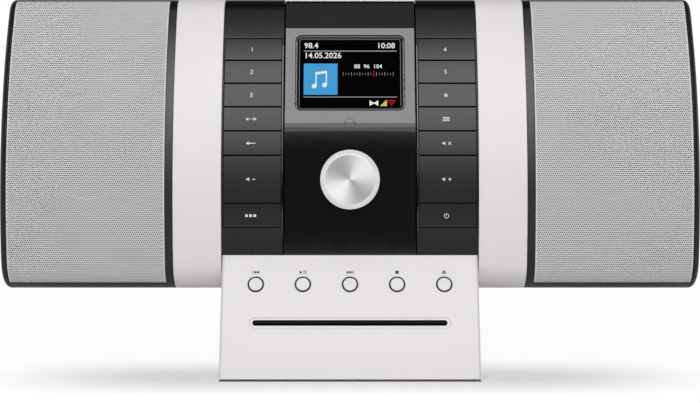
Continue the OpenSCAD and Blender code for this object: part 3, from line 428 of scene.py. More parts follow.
# %% Reading and moving the points of a mesh
def points_of(mesh):
    """The points of a mesh in metres, one row each."""
    co = np.empty(len(mesh.vertices) * 3, dtype=np.float32)
    mesh.vertices.foreach_get("co", co)
    return co.reshape(-1, 3)


def move_points(mesh, points):
    """Puts changed points, in metres, back into their mesh."""
    mesh.vertices.foreach_set("co", np.asarray(points, dtype=np.float32).ravel())


# %% Each front key leaves a visible gap to the next
KEY_GAP = 0.16
for key in front_keys:
    mesh = bpy.data.objects[key + "_dressed"].data
    low, high = (c[2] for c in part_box(key))
    co = points_of(mesh)
    co[:, 2] = (low + high) / 2 + (co[:, 2] - (low + high) / 2) * (1 - 2 * KEY_GAP * MM / (high - low))
    move_points(mesh, co)
print(len(front_keys), "front keys drawn in by", KEY_GAP, "mm at their edges")

# %% The receiver window fills its hole
IR_MIDDLE, IR_GROWTH = np.array([0, 0, 159.0]) * MM, np.array([1.07, 1, 1.07])
mesh = bpy.data.objects["ir_window_dressed"].data
move_points(mesh, (points_of(mesh) - IR_MIDDLE) * IR_GROWTH + IR_MIDDLE)
print("receiver window", round(float(np.ptp(points_of(mesh)[:, 0])) / MM, 2), "mm across")

# %% The inner rails of the key frames are lacquered like the fascia
RAIL_EDGE = 43.4
for side in ("left", "right"):
    mesh = bpy.data.objects["key_frame_" + side + "_dressed"].data
    mesh.materials.append(piano_black)
    across = np.abs(points_of(mesh)[:, 0]) / MM
    glossy = [int(max(across[v] for v in face.vertices) < RAIL_EDGE) for face in mesh.polygons]
    mesh.polygons.foreach_set("material_index", glossy)
    print("rail", side, sum(glossy), "glossy faces")

# %% [markdown]
# The fascia is bent along a crisp line above the display. Flat shading on both
# large flats keeps that line, and the flat above it is satin where the rest is
# polished, so it stays dark and even.

# %% The two large flats of the fascia meet in a crease
LARGE, FORWARD, FLATS_FROM, FLATS_FRONT, CREASE_Z = 60, -0.85, 166, -12, 222
mesh = bpy.data.objects["fascia_dressed"].data
middles = np.array([face.center for face in mesh.polygons]) / MM
area = np.array([face.area for face in mesh.polygons]) / MM ** 2
facing = np.array([face.normal for face in mesh.polygons])
flats = (area > LARGE) & (facing[:, 1] < FORWARD)
flats &= (middles[:, 2] > FLATS_FROM) & (middles[:, 1] < FLATS_FRONT)
mesh.polygons.foreach_set("use_smooth", ~flats)
mesh.materials.append(satin_black)
strip = flats & (middles[:, 2] > CREASE_Z)
mesh.polygons.foreach_set("material_index", strip.astype(np.int32))
print("fascia", int(flats.sum()), "flat faces of", len(flats))

# %% [markdown]
# The front of the body is one line of three arcs that touch: a round at the foot,
# the large front curve, and a round at the top. Since they touch, the way the
# skin faces changes steadily along the line. So one function can walk up the skin
# by length and go in by depth, and sheets, keys and printing are laid with it.

# %% The front outline as a function
shell_low, shell_high = box_mm("centre_shell")
BULGE, FRONT_R, LOW_ROUND, TOP_ROUND = np.array([-48.5, 114.0]), 280.0, 20.5, 14.0
front_centre = BULGE + (FRONT_R, 0)


def round_centre(height, radius):
    """Centre (y, z) of a round that touches the front curve from inside: its distance
    from the centre of the curve is the difference of the two radii."""
    reach = FRONT_R - radius
    return front_centre[0] - math.sqrt(reach ** 2 - (height - front_centre[1]) ** 2), height


low_centre = round_centre(shell_low[2] + LOW_ROUND, LOW_ROUND)
top_centre = round_centre(shell_high[2] - TOP_ROUND, TOP_ROUND)
ARC_CENTRES = np.array([low_centre, front_centre, top_centre])
ARC_RADII = np.array([LOW_ROUND, FRONT_R, TOP_ROUND])
ARC_TURNS = np.radians([-90, 0, 0, 90])
ARC_TURNS[1] = math.asin((low_centre[1] - front_centre[1]) / (FRONT_R - LOW_ROUND))
ARC_TURNS[2] = math.asin((top_centre[1] - front_centre[1]) / (FRONT_R - TOP_ROUND))
ARC_LENGTHS = np.cumsum(np.concatenate([[0], ARC_RADII * np.diff(ARC_TURNS)]))
ARC_LENGTHS += FRONT_R * ARC_TURNS[1] - ARC_LENGTHS[1]


# %% Walking on the front skin
def on_front(x, length, depth=0.0):
    """Points in mm on the front skin. length runs up from the most forward line, depth goes in.
    A point is its arc's centre plus (radius - depth) times the way the skin faces there."""
    turn = np.interp(length, ARC_LENGTHS, ARC_TURNS)
    arc = np.clip(np.searchsorted(ARC_LENGTHS, length, side="right") - 1, 0, 2)
    reach = ARC_RADII[arc] - depth
    return np.stack(np.broadcast_arrays(x, ARC_CENTRES[arc, 0] - reach * np.cos(turn),
                                        ARC_CENTRES[arc, 1] + reach * np.sin(turn)), -1)


def length_at(height, depth=0.0):
    """The length along the skin at which a point at that depth reaches a height in mm."""
    lengths = np.linspace(ARC_LENGTHS[0], ARC_LENGTHS[-1], 4000)
    return float(np.interp(height, on_front(0, lengths, depth)[:, 2], lengths))


print("front skin from", round(ARC_LENGTHS[0], 1), "to", round(ARC_LENGTHS[-1], 1), "mm")


# %% Meshes from points in millimetres
def piece_from(name, points, faces, node, material, smooth=True):
    """A new piece from points in mm and arrays of corners, settled for its node."""
    mesh = bpy.data.meshes.new(name)
    faces = [np.asarray(f) for f in (faces if isinstance(faces, list) else [faces]) if len(f)]
    mesh.vertices.add(len(points))
    mesh.vertices.foreach_set("co", np.asarray(points, dtype=np.float32).ravel() * MM)
    loops = np.concatenate([f.ravel() for f in faces])
    counts = np.concatenate([np.full(len(f), f.shape[1]) for f in faces])
    mesh.loops.add(len(loops))
    mesh.loops.foreach_set("vertex_index", loops.astype(np.int32))
    mesh.polygons.add(len(counts))
    mesh.polygons.foreach_set("loop_start", (np.cumsum(counts) - counts).astype(np.int32))
    mesh.polygons.foreach_set("use_smooth", np.full(len(counts), smooth))
    mesh.update(calc_edges=True)
    mesh.validate()
    return settle(bpy.data.objects.new(name, mesh), node, material)


def ring_faces(rows, flip=False):
    """Faces of four points between each row of point numbers and the next, once round.
    With flip they face the other way."""
    a, b = rows[:-1], rows[1:]
    corners = (a, np.roll(a, -1, 1), np.roll(b, -1, 1), b)
    if flip:
        corners = (a, b, np.roll(b, -1, 1), np.roll(a, -1, 1))
    return np.stack(corners, -1).reshape(-1, 4)


# %% [markdown]
# Each speaker box ends in a rounded rim. Its outline is carried outwards while it
# shrinks along a quarter circle, which gives a soft, even highlight that a few
# flat facets can't give. The flat end closes it.

# %% The rounded ends of the speaker boxes
BACK_R, BACK_Y, BACK_Z, BACK_ROUND = 320.0, 66.0, 140.0, 24.0
FRONT_STEPS, BACK_STEPS = (14, 26, 12), (12, 20, 12)


def body_line(depth):
    """Points (y, z) in mm once round the body at that depth: up the three arcs of the front and
    down the three of the back. The straight top and bottom lie between them."""
    front_steps = [np.linspace(a, b, n, endpoint=False)
                   for a, b, n in zip(ARC_LENGTHS, ARC_LENGTHS[1:], FRONT_STEPS)]
    front_line = on_front(0, np.concatenate([*front_steps, ARC_LENGTHS[-1:]]), depth)[:, 1:]
    centre, reach = np.array([BACK_Y - BACK_R, BACK_Z]), BACK_R - BACK_ROUND
    heights = (shell_high[2] - BACK_ROUND, shell_low[2] + BACK_ROUND)
    leans = [math.asin((h - BACK_Z) / reach) for h in heights]
    rounds = [centre + reach * np.array([math.cos(a), math.sin(a)]) for a in leans]
    turns = [math.pi / 2, *leans, -math.pi / 2]
    parts = []
    for k, (middle, r) in enumerate(((rounds[0], BACK_ROUND), (centre, BACK_R), (rounds[1], BACK_ROUND))):
        turn = np.linspace(turns[k], turns[k + 1], BACK_STEPS[k] + 1)
        parts.append(middle + (r - depth) * np.stack([np.cos(turn), np.sin(turn)], -1))
    return np.concatenate([front_line, parts[0][:-1], parts[1][:-1], parts[2]])


# %% A cap that closes an end
def end_cap(name, node, cap_x, cap_r, steps=10):
    """Rings of the body line: at angle a the ring lies at cap_x + cap_r sin(a), and its depth
    is cap_r (1 - cos(a)). A lid closes each end."""
    side = math.copysign(1, cap_x)
    angles = np.radians(np.linspace(0, 90, steps + 1))
    rings = [body_line(cap_r * (1 - math.cos(a))) for a in angles]
    n = len(rings[0])
    points = np.concatenate([np.c_[np.full(n, cap_x + side * cap_r * math.sin(a)), ring]
                             for a, ring in zip(angles, rings)])
    i = np.arange(len(points)).reshape(-1, n)
    faces = [f[:, ::int(-side)] for f in (ring_faces(i), i[:1, ::-1], i[-1:])]
    return piece_from(name, points, faces, node, end_plastic)


for node, sign in (("speaker_box_left", -1), ("speaker_box_right", 1)):
    outer = np.abs(box_mm(node))[:, 0].max()
    cap = end_cap(node + "_cap", node, sign * CAP_X, outer - CAP_X)
    even_shading(cap)
    print(cap.name, len(cap.data.polygons), "faces")

# %% [markdown]
# The grilles are thin steel sheets with thousands of round holes, bent to the
# front curve. Drawn holes would look flat from the side, so these holes are
# real. The sheet is laid out like a brick wall: each brick has six points on its
# rim, and its hole is a hexagon joined to them by six faces. A wall of bricks has
# no gaps, so the front, the back and the inside of each hole close up exactly.

# %% Perforated sheets
HOLE_STEP, ROW_STEP, HOLE_R = 1.256, 1.26, 0.44
SHEET_TOP, SHEET_BACK, SHEET_GAP, SHEET_RIM = 0.4, 1.4, 0.15, 0.15


def perforated_strip(x0, x1, s0, s1, columns, rows, first_row):
    """Points and faces of a curved sheet with rows of staggered holes and straight rims.
    The layout is flat, in steps of half a brick, and on_front bends it to the skin."""
    half = 2 * columns + 1
    side = (x1 - x0 - half * HOLE_STEP / 2) / 2
    xs = np.concatenate([[x0], x0 + side + np.arange(half + 1) * HOLE_STEP / 2, [x1]])
    lengths = np.linspace(s0, s1, rows + 1)
    nx, ns = len(xs), len(lengths)
    lattice = np.arange(nx * ns).reshape(ns, nx)
    flat_x = np.tile(xs, ns)
    flat_s = np.repeat(lengths, nx)
    bricks, rims = [], []
    for row in range(rows):
        shift = (row + first_row) % 2
        first = 1 + shift + 2 * np.arange(columns)
        low, high = lattice[row], lattice[row + 1]
        bricks.append(np.stack([low[first], low[first + 1], low[first + 2],
                                high[first + 2], high[first + 1], high[first]], -1))
        rims += [[low[0], low[1], high[1], high[0]], [low[-2], low[-1], high[-1], high[-2]]]
        spare = 1 if shift else nx - 3
        rims.append([low[spare], low[spare + 1], high[spare + 1], high[spare]])
    bricks = np.concatenate(bricks)
    holes = len(bricks)
    turn = np.radians([210, 270, 330, 30, 90, 150])
    centre_x = flat_x[bricks[:, 1]]
    centre_s = (flat_s[bricks[:, 1]] + flat_s[bricks[:, 4]]) / 2
    all_x = np.concatenate([flat_x, (centre_x[:, None] + HOLE_R * np.cos(turn)).ravel()])
    all_s = np.concatenate([flat_s, (centre_s[:, None] + HOLE_R * np.sin(turn)).ravel()])
    inner = nx * ns + np.arange(holes * 6).reshape(holes, 6)
    after, count = np.roll(inner, -1, 1), len(all_x)
    ring = np.stack([bricks, np.roll(bricks, -1, 1), after, inner], -1).reshape(-1, 4)
    front = np.concatenate([ring, np.array(rims)])
    back = front[:, ::-1] + count
    tube = np.stack([inner, after, after + count, inner + count], -1).reshape(-1, 4)
    edge = np.concatenate([lattice[0, :], lattice[1:, -1], lattice[-1, -2::-1], lattice[-2:0:-1, 0]])
    wall = np.stack([np.roll(edge, -1), edge, edge + count, np.roll(edge, -1) + count], -1)
    points = np.concatenate([on_front(all_x, all_s, SHEET_TOP), on_front(all_x, all_s, SHEET_BACK)])
    return points, np.concatenate([front, back, tube, wall])


# %% Both grilles
def perforated_grille(side):
    """Three strips, one above the other, cover the bed between its edges."""
    node = "grille_" + side
    low, high = box_mm(node)
    s0, s1 = length_at(low[2] + SHEET_GAP, SHEET_TOP), length_at(high[2] - SHEET_GAP, SHEET_TOP)
    rows = int((s1 - s0) / ROW_STEP) // 3
    columns = int((high[0] - low[0] - 2 * SHEET_RIM) / HOLE_STEP - 0.5)
    for part in range(3):
        span = (s1 - s0) / 3
        points, faces = perforated_strip(low[0], high[0], s0 + span * part, s0 + span * (part + 1),
                                         columns, rows, part * rows)
        piece_from(node + "_sheet_" + str(part + 1), points, faces, node, sheet_silver, smooth=False)
    print(node, 3 * rows, "rows of", columns, "holes,", len(faces) * 2, "triangles a strip")


perforated_grille("left")
perforated_grille("right")

# %% [markdown]
# Printing sits a hair above the surface it is printed on. Each mark is drawn flat
# as closed outlines in millimetres, which are filled and get a little thickness,
# and the finished plate is bent onto its key or panel.

# %% Flat drawings
def box_mark(x, y, w, h):
    """A bar of width w and height h round the point x, y."""
    return np.array([[-w / 2, -h / 2], [w / 2, -h / 2], [w / 2, h / 2], [-w / 2, h / 2]]) + (x, y)


def arrow_mark(x, y, w, h):
    """A triangle that points right, or left when w is negative."""
    return np.array([[x - w / 2, y - h / 2], [x + w / 2, y], [x - w / 2, y + h / 2]])


# %% Round marks and crosses
def arc_mark(x, y, r, width, start, stop, steps=20):
    """A bent bar: out along a circle from start to stop in degrees, and back along a smaller one."""
    turn = np.radians(np.linspace(start, stop, steps))
    rim = np.stack([np.cos(turn), np.sin(turn)], -1)
    return np.concatenate([rim * r, rim[::-1] * (r - width)]) + (x, y)


def disc_mark(x, y, r, steps=20):
    """A round spot."""
    turn = np.linspace(0, 2 * np.pi, steps, endpoint=False)
    return np.stack([x + r * np.cos(turn), y + r * np.sin(turn)], -1)


def cross_mark(x, y, r, width, turn):
    """A cross of two bars as one outline of twelve points, turned by that many degrees."""
    h, t = width / 2, math.radians(turn)
    arm = np.array([[r, -h], [r, h], [h, h]])
    quarter = lambda k: arm @ np.array([[math.cos(k), math.sin(k)], [-math.sin(k), math.cos(k)]])
    return np.concatenate([quarter(t + k * math.pi / 2) for k in range(4)]) + (x, y)


# %% Marks drawn as one outline
def note_mark(r=1.55, stem=0.8, gap=6.6, top=5.2, beam=1.7, rise=1.0):
    """Two notes under one beam as a single outline: each head is a circle that opens into
    its stem, and the beam climbs by the rise from the left stem to the right one."""
    start = math.acos((r - stem) / r)
    turn = np.linspace(start, 2 * np.pi, 22)
    head = np.stack([r * np.cos(turn), r * np.sin(turn)], -1)
    left, right = head + (-gap / 2 - r / 2, -4.4), head + (gap / 2 - r / 2, -3.6)
    under = lambda x: top - beam + rise * (x - left[-1, 0] + stem) / gap
    inside = [[left[-1, 0], under(left[-1, 0])], [right[-1, 0] - stem, under(right[-1, 0] - stem)]]
    return np.concatenate([[[left[-1, 0] - stem, top]], left, inside, right, [[right[-1, 0], top + rise]]])


def star_mark(x, y, r):
    """A star: ten points round a circle, every second one pulled in to two fifths."""
    turn = np.radians(90 + 36 * np.arange(10))
    reach = np.where(np.arange(10) % 2, 0.4, 1.0) * r
    return np.stack([x + reach * np.cos(turn), y + reach * np.sin(turn)], -1)


def bow_mark(w, h, waist):
    """Two triangles that meet in a narrow waist, as one outline of six points."""
    half = np.array([[-w / 2, h / 2], [0, waist / 2], [w / 2, h / 2]])
    return np.concatenate([half, half[::-1] * (1, -1)])


def horn_mark(x):
    """A small loudspeaker: a square back that opens into a cone."""
    outline = [[-1.3, -0.5], [-0.5, -0.5], [0.5, -1.25], [0.5, 1.25], [-0.5, 0.5], [-1.3, 0.5]]
    return [np.array(outline) + (x, 0)]


# %% What is printed on each key
MARKS = {
    "key_scan": [arrow_mark(-2.6, 0, -1.9, 2.2), arrow_mark(2.6, 0, 1.9, 2.2),
                 *(disc_mark(x, 0, 0.3) for x in (-0.9, 0, 0.9))],
    "key_back": [arrow_mark(-2.2, 0, -1.9, 2.3), box_mark(0.95, 0, 4.2, 0.62)],
    "key_volume_down": horn_mark(-1.4) + [box_mark(2.0, 0, 2.0, 0.5)],
    "key_mode": [box_mark(x, 0, 1.7, 1.7) for x in (-2.6, 0, 2.6)],
    "key_preset": [star_mark(0, 0, 1.75)],
    "key_menu": [box_mark(0, y, 4.4, 0.5) for y in (-1.0, 0, 1.0)],
    "key_mute": horn_mark(-1.2) + [cross_mark(2.1, 0, 1.35, 0.42, 45)],
    "key_volume_up": horn_mark(-1.4) + [cross_mark(2.1, 0, 1.1, 0.46, 0)],
    "key_power": [arc_mark(0, -0.1, 1.6, 0.42, 125, 415, 40), box_mark(0, 0.9, 0.42, 1.7)],
    "disc_key_previous": [box_mark(-1.6, 0, 0.35, 1.9), arrow_mark(-0.55, 0, -1.5, 1.7),
                          arrow_mark(0.95, 0, -1.5, 1.7)],
    "disc_key_play": [arrow_mark(-1.0, 0, 1.6, 1.8), *(box_mark(x, 0, 0.4, 1.9) for x in (0.55, 1.45))],
    "disc_key_next": [arrow_mark(-0.95, 0, 1.5, 1.7), arrow_mark(0.55, 0, 1.5, 1.7),
                      box_mark(1.6, 0, 0.35, 1.9)],
    "disc_key_stop": [box_mark(0, 0, 1.8, 1.8)],
    "disc_key_eject": [np.array([[-1.2, -0.25], [1.2, -0.25], [0, 1.2]]), box_mark(0, -0.8, 2.4, 0.4)]}
NUMERALS = {"key_%d" % n: str(n) for n in range(1, 6)}
print(len(MARKS), "drawn marks and", len(NUMERALS), "numerals")


# %% From a drawing to a plate on a surface
PRINT_HALF, PRINT_LIFT, BOLDER = 0.02, 0.012, 0.011


def laid_plate(name, curve, place, node, material):
    """Turns a filled curve into a closed mesh and moves each point (u, v, w) to place(u, v, w)."""
    curve.extrude = PRINT_HALF
    holder = placed(name + "_flat", curve)
    ready = holder.evaluated_get(bpy.context.evaluated_depsgraph_get())
    mesh = bpy.data.meshes.new_from_object(ready)
    bpy.data.objects.remove(holder)
    bpy.data.curves.remove(curve)
    u, v, w = points_of(mesh).T
    move_points(mesh, place(u, v, w + PRINT_LIFT) * MM)
    shape = bmesh.new()
    shape.from_mesh(mesh)
    bmesh.ops.remove_doubles(shape, verts=shape.verts, dist=1e-6)
    bmesh.ops.recalc_face_normals(shape, faces=shape.faces)
    shape.to_mesh(mesh)
    shape.free()
    mesh.update()
    mesh.name = name
    return settle(bpy.data.objects.new(name, mesh), node, material)


# %% Outlines and figures as flat curves
def drawn(outlines):
    """A flat filled curve with one closed line for each outline; a line inside another makes a hole."""
    curve = bpy.data.curves.new("drawing", "CURVE")
    curve.dimensions = "2D"
    curve.fill_mode = "BOTH"
    for outline in outlines:
        line = curve.splines.new("POLY")
        line.points.add(len(outline) - 1)
        line.points.foreach_set("co", np.c_[outline, np.zeros(len(outline)), np.ones(len(outline))].ravel())
        line.use_cyclic_u = True
    return curve


def typed(text, size, align="CENTER"):
    """Figures in the plain built-in letter shapes, size in mm, made a little bolder."""
    curve = bpy.data.curves.new("figures", "FONT")
    curve.body, curve.size = text, size
    curve.align_x, curve.align_y = align, "CENTER"
    curve.resolution_u = 3
    curve.offset = BOLDER * size
    return curve


# %% [markdown]
# The keys sit in two columns on the front curve. The middle of each key comes from
# its own box, so its mark is walked up the skin to that height and then laid down.
# Each mark rides on its own key, and goes in with it.

# %% Legends of the front keys
LEGEND_SHIFT, NUMERAL_SIZE = -0.9, 4.0
for key in front_keys:
    low, high = box_mm(key)
    edges = [math.asin((z - front_centre[1]) / FRONT_R) * FRONT_R for z in (low[2], high[2])]
    middle, x_mid = sum(edges) / 2, (low[0] + high[0]) / 2 + LEGEND_SHIFT
    curve = typed(NUMERALS[key], NUMERAL_SIZE) if key in NUMERALS else drawn(MARKS[key])
    mark = laid_plate(key + "_legend", curve, lambda u, v, w: on_front(x_mid + u, middle + v, -w),
                      key, legend_grey)
    print(mark.name, len(mark.data.polygons), "faces")

# %% [markdown]
# The front of the base is a single arc. Its centre is found from two points on it
# and its radius. The signs of the disc keys are printed above their rings.

# %% The front of the base as a function
BASE_R, BASE_FOOT, BASE_EDGE = 400.0, np.array([-74.0, 0.0]), np.array([-47.0, 76.3])
chord = BASE_EDGE - BASE_FOOT
away = np.array([chord[1], -chord[0]]) / np.hypot(*chord)
base_centre = (BASE_EDGE + BASE_FOOT) / 2 + away * math.sqrt(BASE_R ** 2 - (chord @ chord) / 4)


def on_base(x, length, depth=0.0):
    """Points in mm on the front of the base: length runs up the arc from the level of its centre."""
    turn = length / BASE_R
    reach = BASE_R - depth
    return np.stack(np.broadcast_arrays(x, base_centre[0] - reach * np.cos(turn),
                                        base_centre[1] + reach * np.sin(turn)), -1)


def base_length(height):
    """The length up the arc of the base at a height in mm: radius times the angle there."""
    return math.asin((height - base_centre[1]) / BASE_R) * BASE_R


# %% [markdown]
# The disc slot lies in a shallow dish with round ends. The front of the base is
# opened there with a Boolean cut, and one plate with the dish and the slot in it
# fills the opening. The plate is a set of rectangles with round corners, each at
# its own depth, joined like the steps of a terrace and laid on the arc.

# %% Rings joined to one skin
def rounded_path(w, h, r, steps=10):
    """Points round a rectangle with round corners, and the way out at each of them."""
    turn = np.radians(np.linspace(0, 90, steps))
    turns = np.concatenate([turn + k * np.pi / 2 for k in range(4)])
    corner = np.repeat([[1, 1], [-1, 1], [-1, -1], [1, -1]], steps, axis=0) * (w / 2 - r, h / 2 - r)
    out = np.stack([np.cos(turns), np.sin(turns)], -1)
    return corner + r * out, out


def terraced(name, rings, place, node, material):
    """A closed skin through rings of (width, height, corner radius, shift up, level): each is a
    rectangle with round corners, and the last is joined to the first."""
    flat = np.array([rounded_path(w, h, r)[0] + (0, shift) for w, h, r, shift, _ in rings])
    n = flat.shape[1]
    points = place(flat[..., 0].ravel(), flat[..., 1].ravel(), np.repeat([ring[4] for ring in rings], n))
    i = np.arange(len(rings) * n).reshape(-1, n)
    return piece_from(name, points, ring_faces(np.vstack([i, i[:1]])), node, material, smooth=False)


# %% The base and the dish round its slot
SLOT_Z, SLOT_W, SLOT_H, PLATE_T = 34.7, 121.2, 3.7, 2.0
DISH_OUT, DISH_DEPTH, DISH_WALL = 2.2, 0.6, 0.7
PLATE_OUT, PLATE_H, PLATE_R, PLATE_SHIFT, PLUG_OUT = 10.8, 18.6, 6.0, -3.9, 1.0
slot_middle = base_length(SLOT_Z)
slot_rise = math.tan(slot_middle / BASE_R)
outline = np.array([SLOT_W + PLATE_OUT, PLATE_H, PLATE_R, PLATE_SHIFT, 0.0])
dish_h = SLOT_H + 2 * DISH_OUT - 0.4
dish = np.array([SLOT_W + 2 * DISH_OUT, dish_h, dish_h / 2, 0.0, 0.0])
dish_floor = dish - (2 * DISH_WALL, 2 * DISH_WALL, DISH_WALL, 0, DISH_DEPTH)
slot_edge = [SLOT_W, SLOT_H, SLOT_H / 2, DISH_DEPTH * slot_rise, -DISH_DEPTH]
slot_end = [SLOT_W, SLOT_H, SLOT_H / 2, PLATE_T * slot_rise, -PLATE_T]
on_slot = lambda u, v, w: on_base(u, slot_middle + v, -w)
rows = [outline + (dish - outline) * k for k in (0, 0.33, 0.66, 1)]
plate = terraced("slot_plate", [*rows, dish_floor, slot_edge, slot_end, outline - (0, 0, 0, 0, PLATE_T)],
                 on_slot, "base_shell", white_plastic)
print("plate", len(plate.data.polygons), "faces")

# %% The opening for the plate
path = rounded_path(*outline[:3])[0]
plug_points = np.concatenate([on_slot(path[:, 0], path[:, 1] + PLATE_SHIFT, level)
                              for level in (PLUG_OUT, -PLATE_T)])
i = np.arange(len(plug_points)).reshape(2, -1)
plug_mesh = bpy.data.meshes.new("plug")
plug_faces = [i[0].tolist(), i[1, ::-1].tolist(), *ring_faces(i, True).tolist()]
plug_mesh.from_pydata(plug_points * MM, [], plug_faces)
plug = placed("plug", plug_mesh)
bpy.context.view_layer.update()
base = rounded_copy("base_shell", white_plastic, 0.5, plug=plug)
print("base", len(base.data.polygons), "faces")

# %% Signs of the disc keys
SIGN_RISE, SIGN_SCALE = 9.2, 1.2
for key in disc_keys:
    low, high = box_mm(key)
    x_mid, z_mid = (low[0] + high[0]) / 2, (low[2] + high[2]) / 2
    middle = base_length(z_mid) + SIGN_RISE
    sign = laid_plate(key + "_sign", drawn(MARKS[key]),
                      lambda u, v, w: on_base(x_mid + SIGN_SCALE * u, middle + SIGN_SCALE * v, -w),
                      "base_shell", symbol_grey)
    print(sign.name, "at height", round(float(on_base(0, middle)[2]), 1), "mm")

# %% [markdown]
# The display is a dark pane in a sloping frame. The frame is a profile carried
# round a rectangle with round corners: every point of that path has a direction
# that faces out, and the profile says how far in and how deep each line runs.

# %% The display frame and pane
DISPLAY_LEAN, KINK_Z, WINDOW_DROP = math.radians(17.5), 221.7, 30.7
WINDOW_W, WINDOW_H, WINDOW_R = 68.6, 50.5, 3.3
face_up = np.array([0, math.sin(DISPLAY_LEAN), math.cos(DISPLAY_LEAN)])
face_out = np.array([0, -math.cos(DISPLAY_LEAN), math.sin(DISPLAY_LEAN)])
kink = np.array([0, front_centre[0] - math.sqrt(FRONT_R ** 2 - (KINK_Z - front_centre[1]) ** 2), KINK_Z])
window_middle = kink - WINDOW_DROP * face_up


def on_display(u, v, w):
    """Points in mm: u across, v up the sloping face, w out of it, from the middle of the window."""
    return window_middle + np.stack([u, v * face_up[1] + w * face_out[1],
                                     v * face_up[2] + w * face_out[2]], -1)


# %% A profile carried round the window
def framed(name, w, h, r, profile, place, node, material, closed=True):
    """A profile of (inset, height) points carried round a rounded rectangle. A profile that is
    not closed gets a lid over its first line and one over its last line."""
    path, out = rounded_path(w, h, r)
    profile = np.array(profile)
    n, m = len(path), len(profile)
    flat = path[None] - out[None] * profile[:, 0, None, None]
    points = place(flat[..., 0].ravel(), flat[..., 1].ravel(), np.repeat(profile[:, 1], n))
    i = np.arange(n * m).reshape(m, n)
    faces = [ring_faces(np.vstack([i, i[:1]]) if closed else i)]
    if not closed:
        faces += [i[:1, ::-1], i[-1:]]
    return piece_from(name, points, faces, node, material, smooth=False)


# %% The frame and the pane
PANE_IN, PANE_R = 4.1, 1.6
bezel_profile = [(0, -1.5), (0, -0.25), (0.18, -0.12), (0.5, -0.12), (0.75, -0.22), (1.9, -0.95),
                 (2.15, -1.0), (2.15, -1.5)]
bezel = framed("display_bezel", WINDOW_W, WINDOW_H, WINDOW_R, bezel_profile, on_display,
               "display_window", piano_black)
pane = framed("display_pane", WINDOW_W - PANE_IN, WINDOW_H - PANE_IN, PANE_R, [(0, -1.45), (0, -1.0)],
              on_display, "display_window", pane_black, closed=False)
print("bezel", len(bezel.data.polygons), "faces, pane", len(pane.data.polygons), "faces")

# %% [markdown]
# What the display shows is plain: the time, the date, a frequency scale, a note
# on a blue tile and three signs. Every mark is a thin plate that glows. The glow
# drops a little between fine spots, which stand for the dots of such a panel.

# %% Glowing colours
DOTS_PER_METRE = 3600.0


def lit(name, colour):
    """A glowing finish: a black skin, and a colour that drops a little between the dots."""
    material, tree, shader = new_material(name)
    here = add_node(tree, "TexCoord").outputs["Object"]
    dots = add_node(tree, "TexVoronoi", {"Vector": here, "Scale": DOTS_PER_METRE}).outputs["Distance"]
    bright = ramp_node(tree, dots, 0.2, 0.9, 1.0, 0.8)
    shade = add_node(tree, "MixRGB", {0: bright, 1: (0, 0, 0, 1), 2: (*colour, 1)}).outputs[0]
    tree.links.new(shade, shader.inputs["Emission Color"])
    shader.inputs["Base Color"].default_value = (0.002, 0.002, 0.002, 1)
    shader.inputs["Emission Strength"].default_value = 1.0
    shader.inputs["Specular IOR Level"].default_value = 0.0
    return material


lit_white = lit("lit_white", (0.88, 0.88, 0.88))
lit_grey = lit("lit_grey", (0.34, 0.34, 0.34))
lit_blue = lit("lit_blue", (0.055, 0.36, 0.71))
lit_yellow = lit("lit_yellow", (0.72, 0.60, 0.08))
lit_red = lit("lit_red", (0.55, 0.015, 0.02))

# %% What the display shows
PANE_LEVEL = -0.985
scale = [box_mark(x, 0, 0.28, 2.6 if k % 3 == 0 else 1.5) for k, x in enumerate(np.linspace(-16, 16, 19))]
shown = (("tile", drawn([box_mark(0, 0, 21.6, 21.4)]), -18.75, -4.15, 0.0, lit_blue),
         ("note", drawn([note_mark()]), -18.75, -4.6, 0.05, lit_white),
         ("time", typed("10:08", 5.3), 23.1, 18.8, 0.0, lit_white),
         ("frequency", typed("98.4", 5.3, "LEFT"), -29.4, 18.8, 0.0, lit_white),
         ("rule_high", drawn([box_mark(0.1, 0, 59.6, 0.62)]), 0, 15.2, 0.0, lit_grey),
         ("date", typed("14.05.2026", 5.4, "LEFT"), -29.4, 12.0, 0.0, lit_white),
         ("band", typed("88  96  104", 3.9), 11.6, 4.5, 0.0, lit_white),
         ("scale", drawn(scale), 11.6, -0.6, 0.0, lit_grey),
         ("needle", drawn([box_mark(0, 0, 0.5, 4.2)]), 15.2, -0.6, 0.05, lit_red),
         ("rule_low", drawn([box_mark(0.1, 0, 59.6, 0.5)]), 0, -16.4, 0.0, lit_grey),
         ("stereo", drawn([bow_mark(5.6, 3.8, 0.5)]), 15.2, -20.5, 0.0, lit_white),
         ("signal", drawn([np.array([[-2.2, -2.0], [2.2, -2.0], [2.2, 2.4]])]), 21.2, -20.5, 0.0, lit_yellow),
         ("waves", drawn([arc_mark(0, -1.6, 3.6, 0.8, 45, 135), arc_mark(0, -1.6, 2.1, 0.8, 45, 135),
                          disc_mark(0, -1.5, 0.55)]), 26.4, -20.3, 0.0, lit_red))
for name, curve, u0, v0, lift, glowing in shown:
    laid_plate("display_" + name, curve, lambda u, v, w: on_display(u0 + u, v0 + v, PANE_LEVEL + lift + w),
               "display_window", glowing)
print(len(shown), "glowing marks on the pane")

# %% [markdown]
# The dial is turned from one bar of metal, so it is a profile spun round its axis:
# a dished face, a bright chamfer, a straight side. Each ring of points has the
# same radius and depth, and the two ends close at a point on the axis. The face
# is brushed round the axis. The chamfer is a real bright ring, but its pale, mostly
# non-metal finish is a painted highlight that stands in for the reflection of its metal.

